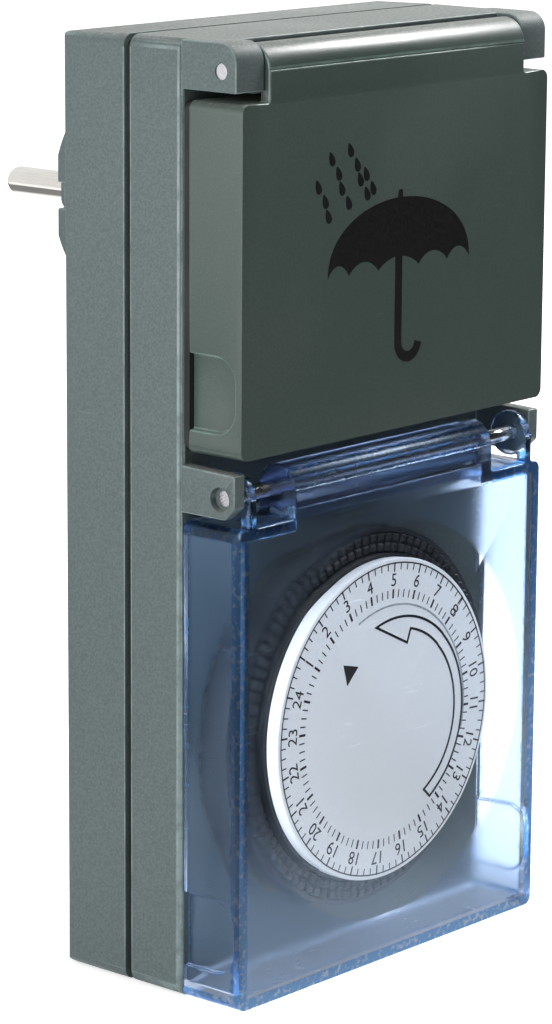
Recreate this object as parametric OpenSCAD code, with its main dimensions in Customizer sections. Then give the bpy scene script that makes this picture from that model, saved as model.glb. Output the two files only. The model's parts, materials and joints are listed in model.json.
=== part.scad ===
// Plug-in timer switch for outdoors: a case of two shells that plugs into a wall outlet, a socket under a
// sprung lid, and a day dial with switching segments under a clear cover. X points right, Y rearwards along
// the plug pins and Z up. The origin lies between the pins, on the face of the bar round them.

/* [Case] */
// Width of the case
case_w = 75; // [75:0.5:90]
// Height of the case
case_h = 150; // [150:1:165]
// Height of the plug pins above the case's foot
plug_height = 120.5; // [118:0.5:122]
// Depth of the front shell, from its sunk front face to the parting line
front_depth = 11.1; // [11.1:0.1:12]
// Depth of the rear shell, from the parting line to the rear face
rear_depth = 13.7; // [13.7:0.1:18]
// Wall of both shells
wall = 2; // [1.5:0.1:2.2]
// Radius of the case's corners, seen from the front
corner_r = 2; // [1:0.25:4]
// Radius of the rear shell's rear edges
rear_edge_r = 1.2; // [1:0.25:4]
// Radius of the front shell's front edges
front_edge_r = 1; // [0.5:0.1:1.4]
// How far the rear shell's top and bottom lean in
draft = 0.4; // [0:0.1:2]
// Width of the seal between the shells
seal_w = 1.3; // [0.8:0.1:2]
// How far the seal lies behind the case's sides
seal_recess = 0.9; // [0.3:0.1:1.2]
// Radius of the case screws' shanks
case_screw_r = 1.45; // [1.2:0.05:1.8]

/* [Covers] */
// Depth of the lid and of the timer cover
cover_depth = 11.9; // [11.9:0.1:13]
// Wall of the lid and of the timer cover
cover_wall = 2; // [1.5:0.1:2.4]
// How much narrower than the case the covers are, on each side
cover_inset = 0.5; // [0.2:0.1:1]
// Gap between the top ears and the lid's shoulders
lid_ear_gap = 1.7; // [1:0.1:2.5]
// Gap between the lid's lower edge and the middle ears
lid_foot_gap = 1.9; // [1:0.1:3]
// Gap between the middle ears and the timer cover's shoulders
cover_ear_gap = 1.45; // [1.4:0.05:2.5]
// Height of the finger grips in the covers' sides
grip_h = 11.7; // [9:0.1:14]
// Depth of the finger grips into the covers' sides
grip_depth = 1; // [0.5:0.1:1.2]
// Thickness of the lid's seal
lid_seal_t = 1.1; // [0.6:0.1:2]

/* [Hinges] */
// Radius of the hinge pins
hinge_pin_r = 1.2; // [1:0.05:1.4]
// Distance of the hinge pins behind the covers' front
hinge_back = 3.9; // [3.9:0.1:4.2]
// Distance of the lid's pin below the case's top
lid_pin_drop = 4.3; // [4.2:0.1:4.6]
// Height of the timer cover's pin above the case's foot
cover_pin_height = 81.05; // [80:0.05:82]
// Radius of the lid's barrel
lid_barrel_r = 3.8; // [3.5:0.05:3.85]
// Radius of the timer cover's barrel
cover_barrel_r = 3.7; // [3.4:0.05:3.8]
// Width of each top ear
top_ear_w = 6.3; // [5:0.1:8]
// Width of each middle ear
mid_ear_w = 2.4; // [2:0.1:2.6]
// How far the ears reach below their pin
ear_below = 3.1; // [2.8:0.1:3.2]
// How far the ears reach in front of their pin
ear_front = 3; // [2.6:0.1:3.1]
// Half width of the timer cover's barrel
cover_barrel_half = 24.4; // [20:0.1:27]
// Clearance between a pin and the piece that turns on it
running = 0.05; // [0.02:0.01:0.08]

/* [Plug] */
// Length of the plug's round body behind the case
boss_len = 20; // [18.5:0.5:22]
// Diameter of the plug's body
boss_d = 38.5; // [38:0.1:39]
// Width of the plug's body across its flats
boss_w = 36.2; // [35:0.1:37]
// Diameter of the plug pins
pin_d = 4.8; // [4:0.1:4.8]
// Length of the plug pins behind the plug's end face
pin_len = 19; // [17:0.5:20]
// Distance between the plug pins
pin_spacing = 19; // [18.6:0.1:19.4]
// How far the bar round the pins stands out of the end face
bar_rise = 2.2; // [1:0.1:3]
// Height of the bar round the pins
bar_h = 6; // [5.4:0.1:8]

/* [Socket] */
// Inside diameter of the socket's well
well_d = 39.6; // [39.2:0.1:40]
// Depth of the well
well_depth = 17.5; // [17:0.1:17.8]
// Wall of the well
well_wall = 2; // [1.6:0.1:2.2]
// How far the well stands out of the sunk face
well_rise = 6.4; // [6:0.1:7]
// Distance of the socket's axis below the plug's axis
socket_drop = 6.5; // [6:0.1:6.8]
// Diameter of the contact holes
contact_hole_d = 5.5; // [5.2:0.1:5.8]
// Travel of the shutter behind the contact holes
shutter_travel = 6.5; // [6.1:0.1:6.8]
// Thickness of the earth strap and of the other strips
strip_t = 0.8; // [0.6:0.1:1]

/* [Dial] */
// Height of the dial's axis above the case's foot
dial_height = 39.4; // [38.8:0.1:40]
// Radius of the dial face
dial_r = 26.3; // [25:0.1:26.6]
// Thickness of the dial face
dial_t = 2.4; // [2:0.1:2.6]
// Distance of the dial face behind the timer cover's front
dial_back = 2.7; // [2.4:0.1:3]
// Radius of the drum that carries the segments
drum_r = 31.2; // [31:0.1:32]
// How far the segments' heads stand out of the sunk face
segment_rise = 5.6; // [5.2:0.1:5.8]
// Travel of a bank of segments
segment_travel = 2; // [1.6:0.1:2.2]
// Radius of the dial's spindle
spindle_r = 3; // [2:0.1:3.4]

/* [Movement] */
// Module of the drum's teeth and of the pinion they mesh with
drum_module = 0.85; // [0.84:0.005:0.86]
// Module of the idler wheel and of the drive pinion
wheel_module = 0.6; // [0.55:0.01:0.62]
// Width of the drum's teeth
gear_w = 3; // [2.4:0.1:3.2]
// Thickness of the movement plates
plate_t = 1.2; // [0.8:0.1:1.4]
// Room between the movement plates
plate_gap = 4; // [3.8:0.1:4.1]
// Radius of the motor and its gearbox
motor_r = 21; // [19:0.1:22]
// Depth of the gearbox
gearbox_depth = 3.6; // [3.4:0.1:3.8]
// Depth of the motor
motor_depth = 5.6; // [5.2:0.1:5.8]

/* [Switch] */
// Swing of the cam follower, in degrees
follower_swing = 3.5; // [3:0.1:4]
// Distance of the switch button from the follower's pivot
button_arm = 10; // [9:0.1:11]
// Length of the switch blade from its root to the button
blade_arm = 8; // [7:0.1:9]
// Radius of the wires over their insulation
wire_r = 1; // [0.7:0.05:1.1]

/* [Hidden] */
$fn = 64;

// Places along Y
y_end = -bar_rise;
y_rear = y_end - boss_len;
y_part = y_rear - rear_depth;
y_plane = y_part - front_depth;
y_front = y_plane - cover_depth;
y_wall = y_plane + wall;
y_floor = y_rear - wall;
y_hinge = y_front + hinge_back;

// Places along Z
z_foot = -plug_height;
z_top = z_foot + case_h;
z_lid_pin = z_top - lid_pin_drop;
z_cover_pin = z_foot + cover_pin_height;
mid_ear_above = 4.25;
z_mid_ear_top = z_cover_pin + mid_ear_above;
z_lid_top = z_lid_pin - ear_below - lid_ear_gap;
z_lid_foot = z_mid_ear_top + lid_foot_gap;
z_cover_top = z_cover_pin - ear_below - cover_ear_gap;
z_socket = -socket_drop;
z_dial = z_foot + dial_height;

// Colours
grey_green = [0.4, 0.45, 0.43];
dark_green = [0.23, 0.28, 0.25];
black = [0.05, 0.05, 0.06];
white = [0.9, 0.92, 0.93];
clear_blue = [0.55, 0.65, 0.85, 0.4];
nickel = [0.8, 0.8, 0.8];
brass = [0.8, 0.65, 0.3];
copper = [0.72, 0.4, 0.22];

// Fits
touch = 0.02;        // between a fixed piece and its seat
slide_gap = 0.2;     // round a piece that slides
cut = 1;             // how far a cutter reaches past the face it opens

// Case
seal_band = 1.8;
shell_front = y_part - seal_w / 2;
shell_rear = y_part + seal_w / 2;
screw_x = case_w / 2 - 7;
screw_zs = [z_top - 11.5, z_foot + 8.5];
post_r = 3.6;
screw_head_r = 2.8;
screw_head_t = 1.6;
cross_half = 1.8;
cross_w = 0.7;
cross_depth = 0.8;

// Ears
ear_gap = 0.3;
top_ear_x = case_w / 2 - top_ear_w;
mid_ear_x = case_w / 2 - mid_ear_w;
barrel_gap = 0.4;
lip_front = 2.1;
pin_end_recess = 1.2;
pin_end_r = 1.9;

// Covers
cover_x = case_w / 2 - cover_inset;
cover_corner_r = 1.5;
grip_front = 1.4;
grip_r = 4;
hood_wall = 1.5;
lid_grip_rise = 3.8;
cover_grip_rise = 5.4;
lid_grip_z = z_lid_foot + lid_grip_rise;
cover_grip_z = z_foot + cover_grip_rise;
knuckle_w = 1.7;
knuckle_gap = 0.2;
knuckle_x = [mid_ear_x - knuckle_gap - knuckle_w, mid_ear_x - knuckle_gap];

// Lid spring
spring_half = 9;
spring_bore_r = 2.7;
spring_wire_r = 0.3;
spring_coil_r = 1.85;
spring_turns = 9;
slot_w = 1.6;
leg_angle = -15;

// Plug
boss_flat = boss_w / 2;
end_wall = 2.5;
insert_back = y_end - 10.5;
insert_gap = 0.15;
insert_r = boss_d / 2 - wall - insert_gap;
bar_beyond = 5.5;
bar_corner_r = 2;
bar_half = pin_spacing / 2 + bar_beyond;
shank_step = 0.2;
pin_shank_r = pin_d / 2 + shank_step;
root_rim = 0.8;
root_r = pin_shank_r + root_rim;
root_t = 1.5;
groove_w = 4.2;
groove_depth = wall - 0.6;
groove_len = 16;
clip_w = 5;
clip_back = y_end - 17;
clip_front = y_end - 1.5;

// Socket
y_mouth = y_plane - well_rise;
y_well = y_mouth + well_depth;
well_floor_t = 3;
y_well_back = y_well + well_floor_t;
well_r = well_d / 2;
flange_w = 4.6;
flange_r = well_r + well_wall + flange_w;
flange_t = 1.5;
socket_screw_r = 1;
socket_screw_ring = well_r + well_wall + flange_w / 2;
socket_head_r = 1.9;
socket_head_t = 1.2;
socket_screw_angles = [45, 135, 225, 315];
shutter_t = 1.8;
shutter_layer = shutter_t + 2 * slide_gap;
y_shutter = y_well_back + slide_gap;
y_carrier = y_well_back + shutter_layer;
shutter_x = 13.9;
shutter_top = 5.6;
shutter_below = 3.6;
shutter_foot = -shutter_travel - shutter_below;
carrier_t = 2;
carrier_x = 17;
carrier_z = 15;
carrier_tube_r = 4.4;
contact_r = pin_d / 2 + 0.1;
contact_t = 0.6;
contact_len = 10;
y_contact = y_carrier + carrier_t + touch;
y_contact_end = y_contact + contact_len;
strap_w = 6;
strap_z_top = z_socket + well_r - 1.2;
strap_z_foot = z_socket - well_r + 1.2;
strap_z_in = -13.9;
y_strap_turn = y_floor - 0.8;
y_strap_cross = y_end - 13.4;

// Dial
y_dial = y_front + dial_back;
y_drum = y_dial + dial_t;
y_segment = y_plane - segment_rise;
drum_disc_t = 1.4;
tube_r = 26.8;
tube_wall = 2;
ring_wall = 0.8;
ring_gap = 0.3;
drum_floor_t = 1.2;
y_drum_floor = y_plane - 1;
head_len = y_drum_floor - y_segment - segment_travel - 0.3;
foot_r = 28.8;
foot_w = 0.9;
foot_h = 1.2;
foot_gap = 0.15;
slot_h = foot_h + 2 * foot_gap;
slot_across = foot_w + 2 * foot_gap;
head_w = 1.45;
segments = 96;
bank = segments / 4;
hub_r = 5;
gear_web_t = 1.4;
web_hole_r = 4;
web_hole_ring = 14;
gear_clear = 0.4;
y_gear = y_wall + gear_clear;
y_gear_end = y_gear + gear_w;
drum_gap = 0.5;
hole_r = drum_r + drum_gap;
pocket_r = 5.2;
retainer_r = 4.5;
retainer_t = 1.05;
retainer_shank_r = 1.2;

// Gears
drum_teeth = 60;
pinion_teeth = 10;
wheel_teeth = 40;
pressure = 25;
addendum = 0.8;
dedendum = 1.1;
backlash = 0.14;
idler_z = z_dial + drum_module * (drum_teeth + pinion_teeth) / 2;
drive_z = idler_z - wheel_module * (wheel_teeth + pinion_teeth) / 2;
motor_drop = 12;
motor_z = drive_z - motor_drop;

// Movement
plate_clear = 0.8;
y_plate_a = y_gear_end + plate_clear;
y_plate_b = y_plate_a + plate_t + plate_gap;
y_gearbox = y_plate_b + plate_t;
y_motor = y_gearbox + gearbox_depth;
y_motor_end = y_motor + motor_depth;
plate_x = 23;
plate_above = 38.1;
plate_below = 31.4;
plate_corner_r = 3;
plate_top = z_dial + plate_above;
plate_foot = z_dial - plate_below;
pillar_r = 2.2;
pillar_screw_r = 1.25;
top_pillar_x = 16;
top_pillar_rise = 34.6;
foot_pillar_x = 21;
foot_pillar_drop = 28.4;
pillar_spots = [[top_pillar_x, z_dial + top_pillar_rise], [foot_pillar_x, z_dial - foot_pillar_drop]];
idler_axle_r = 1;
sleeve_r = 2;
wheel_w = 2;
wheel_clear = 0.9;
y_wheel = y_plate_a + plate_t + wheel_clear;
shaft_r = 1;
drive_w = 2.6;
drive_clear = 0.6;
y_drive = y_plate_a + plate_t + drive_clear;
output_wheel_w = 1.2;
gearbox_wall = 1;
gearbox_back_t = 0.6;
screw_tip = 0.6;
pillar_head_t = 1.4;
output_wheel_teeth = 30;
output_module = 0.45;
can_wall = 0.8;
bobbin_r = [10, 19.8];
bobbin_flange = 0.5;
winding_r = [11, 19.3];
rotor_r = 8.5;
rotor_shaft_r = 0.6;

// Switch
follower_x = -foot_r;
follower_w = 2.4;
follower_t = 1.4;
follower_arm = 25.1;
follower_z = z_dial + follower_arm;
follower_clear = 0.5;
pivot_depth = 1.8;
y_follower = y_wall + follower_clear;
y_pivot = y_wall + pivot_depth;
pivot_hub_r = 1.55;
pivot_r = 0.8;
nose_len = 1.7;
nose_base = 1.5;
nose_tip = 0.5;
lug_w = 2.1;
lug_gap = 0.4;
lug_z = 3.6;
box_behind = 2.7;
y_box = y_follower + follower_t + box_behind;
box_depth = 9.8;
box_wall = 1;
box_gap = 0.25;
box_reach = 3.4;
box_drop = 22;
box_rise = 1.2;
box_x = [-case_w / 2 + max(wall + draft, seal_recess + seal_band) + box_gap, follower_x + box_reach];
box_z = [follower_z - box_drop, follower_z + box_rise];
box_cover_t = 0.8;
button_z = follower_z - button_arm;
button_r = 1.2;
button_flange_r = 1.8;
button_flange_t = 0.6;
button_nub_r = 0.9;
button_nub_len = 0.4;
button_play = 0.12;
y_button_flange = y_box + box_wall + 0.05;
y_button_end = y_button_flange + button_flange_t + button_nub_len;
blade_t = 0.3;
blade_w = 3;
y_blade = y_button_end + button_play;
blade_z = button_z + blade_arm;
blade_len = 17;
contact_stud_r = 1;
contact_stud_t = 0.5;
fixed_r = 1.4;
fixed_t = 0.6;
z_stud = blade_z - blade_len + contact_stud_r;
tail_r = 0.8;
tail_out = 1;
terminal_z = [0.5, 1.5];
blade_root_r = 0.45;
contact_gap = blade_len * sin(follower_swing * button_arm / blade_arm) + 0.05;

// Wires, as points chosen by hand, with Y from the plug's end face
lead_r = 0.6 * wire_r;
wire_in_route = [
    [-9.5, -12.3, 2.2], [-9.5, -13.5, 2.4], [-11, -16, 6], [-12, -21.5, 7], [-16, -23.8, 7.5], [-27, -24, 0],
    [-31, -24, -20], [-31, -24, -45], [-29.2, -24.2, -55], [-28.8, -25.4, -57.1], [-28.8, -27.2, -57.1]
];
wire_out_route = [
    [-28.8, -27.2, -74], [-28.8, -25.4, -74], [-28.4, -24.2, -71], [-26.6, -24, -60], [-27.5, -24, -40],
    [-26, -24, -26], [-20, -24, -16], [-12.4, -23.6, -12.4], [-9.8, -21.4, -11.9], [-9.5, -18, -11.9],
    [-9.5, -15, -10.8]
];
lead_live_route = [
    [-10, -24, -59.4], [-11.5, -24, -55], [-16, -24, -52], [-22, -25, -53.5], [-25.2, -27.5, -57.1],
    [-27.15, -27.5, -57.1]
];
lead_neutral_route = [
    [10, -24, -59.4], [13, -23.6, -50], [18, -24, -30], [16, -23.8, -19], [12, -23.6, -12.4],
    [10, -21.5, -12], [9.5, -18, -11.8], [9.5, -14.4, -11.15]
];

// ---------- helpers ----------

// Extrudes an outline drawn in X and Z from y0 to y1.
module along_y(y0, y1) {
    translate([0, y1, 0])
        rotate([90, 0, 0])
            linear_extrude(y1 - y0) children();
}

// Extrudes an outline drawn in Y and Z from x0 to x1.
module along_x(x0, x1) {
    translate([x0, 0, 0])
        rotate([90, 0, 90])
            linear_extrude(x1 - x0) children();
}

// Extrudes an outline drawn in X and Y from z0 to z1.
module along_z(z0, z1) {
    translate([0, 0, z0])
        linear_extrude(z1 - z0) children();
}

// A rod along Y.
module rod_y(r, y0, y1, x = 0, z = 0) {
    translate([x, y0, z])
        rotate([-90, 0, 0])
            cylinder(r = r, h = y1 - y0);
}

// A rod along X.
module rod_x(r, x0, x1, y = 0, z = 0) {
    translate([x0, y, z])
        rotate([0, 90, 0])
            cylinder(r = r, h = x1 - x0);
}

// A block between two corners.
module block(low, high) {
    translate(low) cube(high - low);
}

// A rectangle with round corners between two corners.
module round_rect(low, high, r) {
    size = high - low;
    translate(low + [r, 0]) square([size[0] - 2 * r, size[1]]);
    translate(low + [0, r]) square([size[0], size[1] - 2 * r]);
    for (x = [low[0] + r, high[0] - r])
        for (z = [low[1] + r, high[1] - r])
            translate([x, z]) circle(r);
}

// Repeats its children on the right and, mirrored, on the left.
module both_sides() {
    children();
    mirror([1, 0, 0]) children();
}

// A strip's outline along square turns, from the centre line's points.
module strip_outline(points, t) {
    for (i = [0 : len(points) - 2]) {
        low = [min(points[i][0], points[i + 1][0]), min(points[i][1], points[i + 1][1])];
        high = [max(points[i][0], points[i + 1][0]), max(points[i][1], points[i + 1][1])];
        translate(low - [t / 2, t / 2]) square(high - low + [t, t]);
    }
}

// A tube through a list of points, with a ring at every point.
function unit(v) = v / norm(v);
function heading(p, i) = unit(p[min(i + 1, len(p) - 1)] - p[max(i - 1, 0)]);
function carried(side, along) = unit(side - (side * along) * along);
function sides_of(p, side, i = 0) =
    i >= len(p) ? [] : let (s = carried(side, heading(p, i))) concat([s], sides_of(p, s, i + 1));
module tube(p, r, n = 8, side = [0.31, 0.9, 0.3]) {
    s = sides_of(p, side);
    rings = [
        for (i = [0 : len(p) - 1])
            let (a = s[i], b = cross(heading(p, i), a))
                for (k = [0 : n - 1])
                    p[i] + r * (cos(360 * k / n) * a + sin(360 * k / n) * b)
    ];
    walls = [
        for (i = [0 : len(p) - 2])
            for (k = [0 : n - 1])
                [i * n + k, (i + 1) * n + k, (i + 1) * n + (k + 1) % n, i * n + (k + 1) % n]
    ];
    caps = [
        [for (k = [0 : n - 1]) k],
        [for (k = [n - 1 : -1 : 0]) (len(p) - 1) * n + k]
    ];
    polyhedron(points = rings, faces = concat(walls, caps));
}

// A smooth route through points chosen by hand.
wire_steps = 4;
function route_point(p, i, t) =
    let (
        a = p[max(i - 1, 0)],
        b = p[i],
        c = p[i + 1],
        d = p[min(i + 2, len(p) - 1)]
    ) b + t * (c - a) / 2 + t * t * (a - 2.5 * b + 2 * c - d / 2) + t * t * t * (1.5 * (b - c) + (d - a) / 2);
function smooth(p) = concat(
    [for (i = [0 : len(p) - 2]) for (k = [0 : wire_steps - 1]) route_point(p, i, k / wire_steps)],
    [p[len(p) - 1]]
);

// One side of a tooth: the involute of the base circle from its start to the tip circle.
function involute(rb, a) = rb * [cos(a) + a * PI / 180 * sin(a), sin(a) - a * PI / 180 * cos(a)];
function unwound(rb, r) = sqrt(max(0, pow(r / rb, 2) - 1)) * 180 / PI;
function swept(rb, r) = let (p = involute(rb, unwound(rb, r))) atan2(p[1], p[0]);
function polar(r, a) = r * [cos(a), sin(a)];

// A spur gear's outline with a tooth on the X axis.
flank_points = 4;
module gear_outline(m, teeth) {
    rp = m * teeth / 2;
    rb = rp * cos(pressure);
    tip = rp + addendum * m;
    root = rp - dedendum * m;
    start = max(rb, root);
    half = 90 / teeth - backlash / 2 / rp * 180 / PI + swept(rb, rp);
    heel = half - swept(rb, start) + 0.1;
    flank = [for (k = [0 : flank_points - 1]) start + (tip - start) * k / (flank_points - 1)];
    polygon([
        for (i = [0 : teeth - 1])
            let (a = 360 * i / teeth)
                for (q = concat(
                    [polar(root, a - heel)],
                    [for (r = flank) polar(r, a - half + swept(rb, r))],
                    [for (k = [flank_points - 1 : -1 : 0]) polar(flank[k], a + half - swept(rb, flank[k]))],
                    [polar(root, a + heel)]
                )) q
    ]);
}

// A gear between y0 and y1, turned so that a tooth points up.
module gear(m, teeth, y0, y1, z, turn = 90) {
    translate([0, 0, z])
        along_y(y0, y1) rotate(turn) gear_outline(m, teeth);
}

// ---------- case ----------

// The rear shell's side outline: the top and the foot lean in and end in round edges.
lean = atan(draft / rear_depth);
module rear_profile() {
    r = rear_edge_r;
    yc = y_rear - r;
    fall = (yc - y_part) * draft / rear_depth + r / cos(lean);
    top = z_top - fall;
    foot = z_foot + fall;
    polygon([
        [shell_rear, z_top - seal_w / 2 * draft / rear_depth],
        [yc + r * sin(lean), top + r * cos(lean)],
        [y_rear, top],
        [y_rear, foot],
        [yc + r * sin(lean), foot - r * cos(lean)],
        [shell_rear, z_foot + seal_w / 2 * draft / rear_depth]
    ]);
    for (z = [top, foot])
        translate([yc, z]) circle(r);
}

// A shell's outline from above, with its outer edges rounded towards y_to.
module edge_profile(y_from, y_to, r) {
    side = y_to > y_from ? 1 : -1;
    low = min(y_from, y_to - side * r);
    high = max(y_from, y_to - side * r);
    translate([-case_w / 2, low]) square([case_w, high - low]);
    translate([-case_w / 2 + r, min(y_from, y_to)]) square([case_w - 2 * r, abs(y_to - y_from)]);
    for (x = [-1, 1])
        translate([x * (case_w / 2 - r), y_to - side * r]) circle(r);
}

module case_outline(inset) {
    r = max(corner_r - inset, 0.3);
    round_rect([-case_w / 2 + inset, z_foot + inset], [case_w / 2 - inset, z_top - inset], r);
}

// The plug body's outline: a circle with a flat on each side.
module boss_outline(inset) {
    intersection() {
        circle(boss_d / 2 - inset);
        square([2 * (boss_flat - inset), boss_d], center = true);
    }
}

module at_case_screws() {
    for (x = [-screw_x, screw_x])
        for (z = screw_zs)
            translate([x, 0, z]) children();
}

module rear_case() {
    color(grey_green) difference() {
        union() {
            difference() {
                intersection() {
                    along_y(shell_rear, y_rear) case_outline(0);
                    along_x(-case_w / 2, case_w / 2) rear_profile();
                    along_z(z_foot, z_top) edge_profile(shell_rear, y_rear, rear_edge_r);
                }
                along_y(shell_rear - cut, y_floor) case_outline(wall + draft);
                along_y(y_floor - cut, y_rear + cut) boss_outline(wall);
            }
            along_y(y_rear - wall, y_end) difference() {
                boss_outline(0);
                boss_outline(wall);
            }
            along_y(y_end - end_wall, y_end) boss_outline(0);
            along_y(y_end, 0)
                round_rect([-bar_half, -bar_h / 2], [bar_half, bar_h / 2], bar_corner_r);
            at_case_screws() rod_y(post_r, shell_rear, y_floor + touch);
        }
        at_case_screws() {
            rod_y(case_screw_r + slide_gap, shell_rear - cut, y_rear + cut);
            rod_y(screw_head_r + slide_gap, y_rear - screw_head_t - slide_gap, y_rear + cut);
        }
        for (x = [-pin_spacing / 2, pin_spacing / 2])
            rod_y(pin_shank_r + touch, y_end - end_wall - cut, cut, x);
        both_sides()
            block([boss_flat - groove_depth, y_end - groove_len, -groove_w / 2],
                [boss_flat + cut, y_end + cut, groove_w / 2]);
        for (side = [-1, 1])
            plug_clip_cuts(side);
    }
}

// The groove that an earth clip lies in, and the slot where it turns inwards.
module plug_clip_cuts(side) {
    w = clip_w / 2 + slide_gap;
    r = boss_d / 2;
    y = clip_back - slide_gap;
    mirror([0, 0, side > 0 ? 0 : 1]) {
        block([-w, y, r - strip_t - slide_gap], [w, y_end + cut, r + cut]);
        block([-w, y, r - wall - cut], [w, clip_back + strip_t + slide_gap, r + cut]);
    }
}

// The side outline of a top ear, with a round upper front corner.
ear_corner_r = 3;
module top_ear_outline() {
    front = y_hinge - ear_front;
    foot = z_lid_pin - ear_below;
    translate([front, foot]) square([y_plane - front + touch, z_top - ear_corner_r - foot]);
    translate([front + ear_corner_r, foot]) square([y_plane - front - ear_corner_r + touch, z_top - foot]);
    translate([front + ear_corner_r, z_top - ear_corner_r]) circle(ear_corner_r);
}

// The side outline of a middle ear, with its lower front corner cut off.
ear_chamfer = 2;
ear_slope = 0.3;
module mid_ear_outline() {
    front = y_hinge - ear_front;
    foot = z_cover_pin - ear_below;
    polygon([
        [front, foot + ear_chamfer],
        [front + ear_chamfer, foot],
        [y_plane + touch, foot],
        [y_plane + touch, z_mid_ear_top],
        [front, z_mid_ear_top - ear_slope]
    ]);
}

// The roof that reaches forward over the lid's barrel between the top ears.
module lid_shoulder() {
    difference() {
        block([-top_ear_x, y_hinge + lip_front, z_lid_pin - ear_below], [top_ear_x, y_plane + touch, z_top]);
        rod_x(lid_barrel_r + barrel_gap, -top_ear_x - cut, top_ear_x + cut, y_hinge, z_lid_pin);
    }
}

// The lugs that hold the follower's axle behind the front wall.
module follower_lugs() {
    for (side = [-1, 1]) {
        x = follower_x + side * (follower_w / 2 + lug_gap + lug_w / 2);
        block([x - lug_w / 2, y_wall - touch, follower_z - lug_z / 2],
            [x + lug_w / 2, y_pivot + 2, follower_z + lug_z / 2]);
    }
}

module at_pillars() {
    for (spot = pillar_spots)
        for (x = [-spot[0], spot[0]])
            translate([x, 0, spot[1]]) children();
}

module at_socket_screws() {
    for (a = socket_screw_angles)
        translate([socket_screw_ring * cos(a), 0, z_socket + socket_screw_ring * sin(a)]) children();
}

// The notch in the lid's shoulder that the spring's leg lies in.
module spring_notch() {
    block([spring_half - slot_w, y_hinge, z_lid_pin - ear_below - cut],
        [spring_half + 0.5, y_plane + 0.01, z_lid_pin - spring_coil_r + spring_wire_r + 0.2]);
}

module front_case() {
    color(grey_green) difference() {
        union() {
            difference() {
                intersection() {
                    along_y(y_plane, shell_front) case_outline(0);
                    along_z(z_foot, z_top) edge_profile(shell_front, y_plane, front_edge_r);
                }
                along_y(y_wall, shell_front + cut) case_outline(wall);
            }
            both_sides() {
                along_x(top_ear_x, case_w / 2) top_ear_outline();
                along_x(mid_ear_x, case_w / 2) mid_ear_outline();
            }
            lid_shoulder();
            at_case_screws() rod_y(post_r, y_wall - touch, shell_front);
            at_pillars() rod_y(pillar_r, y_wall - touch, y_plate_a - touch);
            follower_lugs();
        }
        rod_y(hole_r, y_plane - cut, y_wall + touch * 2, 0, z_dial);
        rod_y(well_r + well_wall + slide_gap, y_plane - cut, y_wall + cut, 0, z_socket);
        at_case_screws() rod_y(case_screw_r + touch, y_wall, shell_front + cut);
        at_pillars() rod_y(pillar_screw_r + touch, y_wall, y_plate_a);
        at_socket_screws() rod_y(socket_screw_r + touch, y_plane + 0.6, y_wall + cut);
        rod_x(hinge_pin_r + touch, -case_w / 2 - cut, case_w / 2 + cut, y_hinge, z_lid_pin);
        rod_x(hinge_pin_r + touch, -case_w / 2 - cut, case_w / 2 + cut, y_hinge, z_cover_pin);
        both_sides()
            rod_x(pin_end_r, case_w / 2 - pin_end_recess, case_w / 2 + cut, y_hinge, z_cover_pin);
        rod_x(pivot_r + touch, follower_x - 5, follower_x + 5, y_pivot, follower_z);
        spring_notch();
    }
}

module case_seal() {
    color(black) along_y(shell_front + touch, shell_rear - touch) difference() {
        case_outline(seal_recess);
        case_outline(seal_recess + seal_band);
    }
}

module case_screws() {
    color(nickel) at_case_screws() {
        rod_y(case_screw_r, y_wall + 1.5, y_rear - screw_head_t);
        difference() {
            rod_y(screw_head_r, y_rear - screw_head_t, y_rear - 0.1);
            for (turn = [0, 90])
                rotate([0, turn, 0])
                    block([-cross_half, y_rear - 0.1 - cross_depth, -cross_w / 2],
                        [cross_half, y_rear + cut, cross_w / 2]);
        }
    }
}

// ---------- plug ----------

module plug_insert() {
    color(black) difference() {
        along_y(insert_back, y_end - end_wall - touch) intersection() {
            circle(insert_r);
            square([2 * (boss_flat - wall - insert_gap), boss_d], center = true);
        }
        for (x = [-pin_spacing / 2, pin_spacing / 2])
            rod_y(pin_shank_r + touch, insert_back - cut, cut, x);
    }
}

module plug_pin(x) {
    r = pin_d / 2;
    color(nickel) {
        rod_y(r, -cut, y_end + pin_len - r, x);
        rod_y(pin_shank_r, insert_back - root_t, 0, x);
        translate([x, y_end + pin_len - r, 0]) sphere(r);
        rod_y(root_r, insert_back - touch - root_t, insert_back - touch, x);
    }
}

module plug_pin_left() plug_pin(-pin_spacing / 2);

module plug_pin_right() plug_pin(pin_spacing / 2);

module plug_earth_clips() {
    t = strip_t;
    z = boss_d / 2 - t / 2;
    color(nickel) along_x(-clip_w / 2, clip_w / 2) {
        y_turn = clip_back + t / 2;
        strip_outline([[clip_front, z], [y_turn, z], [y_turn, strap_z_top + t + 0.05]], t);
        strip_outline([[clip_front, -z], [y_turn, -z], [y_turn, strap_z_in - t - 0.05]], t);
    }
}

// The strap that joins the socket's two earth contacts to each other and to the plug's earth clips.
module earth_strap() {
    bulge = 1.2;
    t = strip_t;
    front = y_mouth + 3;
    color(nickel) along_x(-strap_w / 2, strap_w / 2) {
        strip_outline([
            [front, strap_z_top],
            [y_strap_cross, strap_z_top],
            [y_strap_cross, strap_z_in],
            [y_strap_turn, strap_z_in],
            [y_strap_turn, strap_z_foot],
            [front, strap_z_foot]
        ], t);
        polygon([[front + 1, strap_z_top], [front + 4, strap_z_top - bulge], [front + 7, strap_z_top]]);
        polygon([[front + 1, strap_z_foot], [front + 7, strap_z_foot], [front + 4, strap_z_foot + bulge]]);
    }
}

// ---------- socket ----------

module at_contacts() {
    for (x = [-pin_spacing / 2, pin_spacing / 2])
        translate([x, 0, z_socket]) children();
}

module strap_slot(z) {
    w = strap_w / 2 + slide_gap;
    h = strip_t / 2 + slide_gap;
    block([-w, y_well - cut, z - h], [w, y_well_back + cut, z + h]);
}

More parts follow.
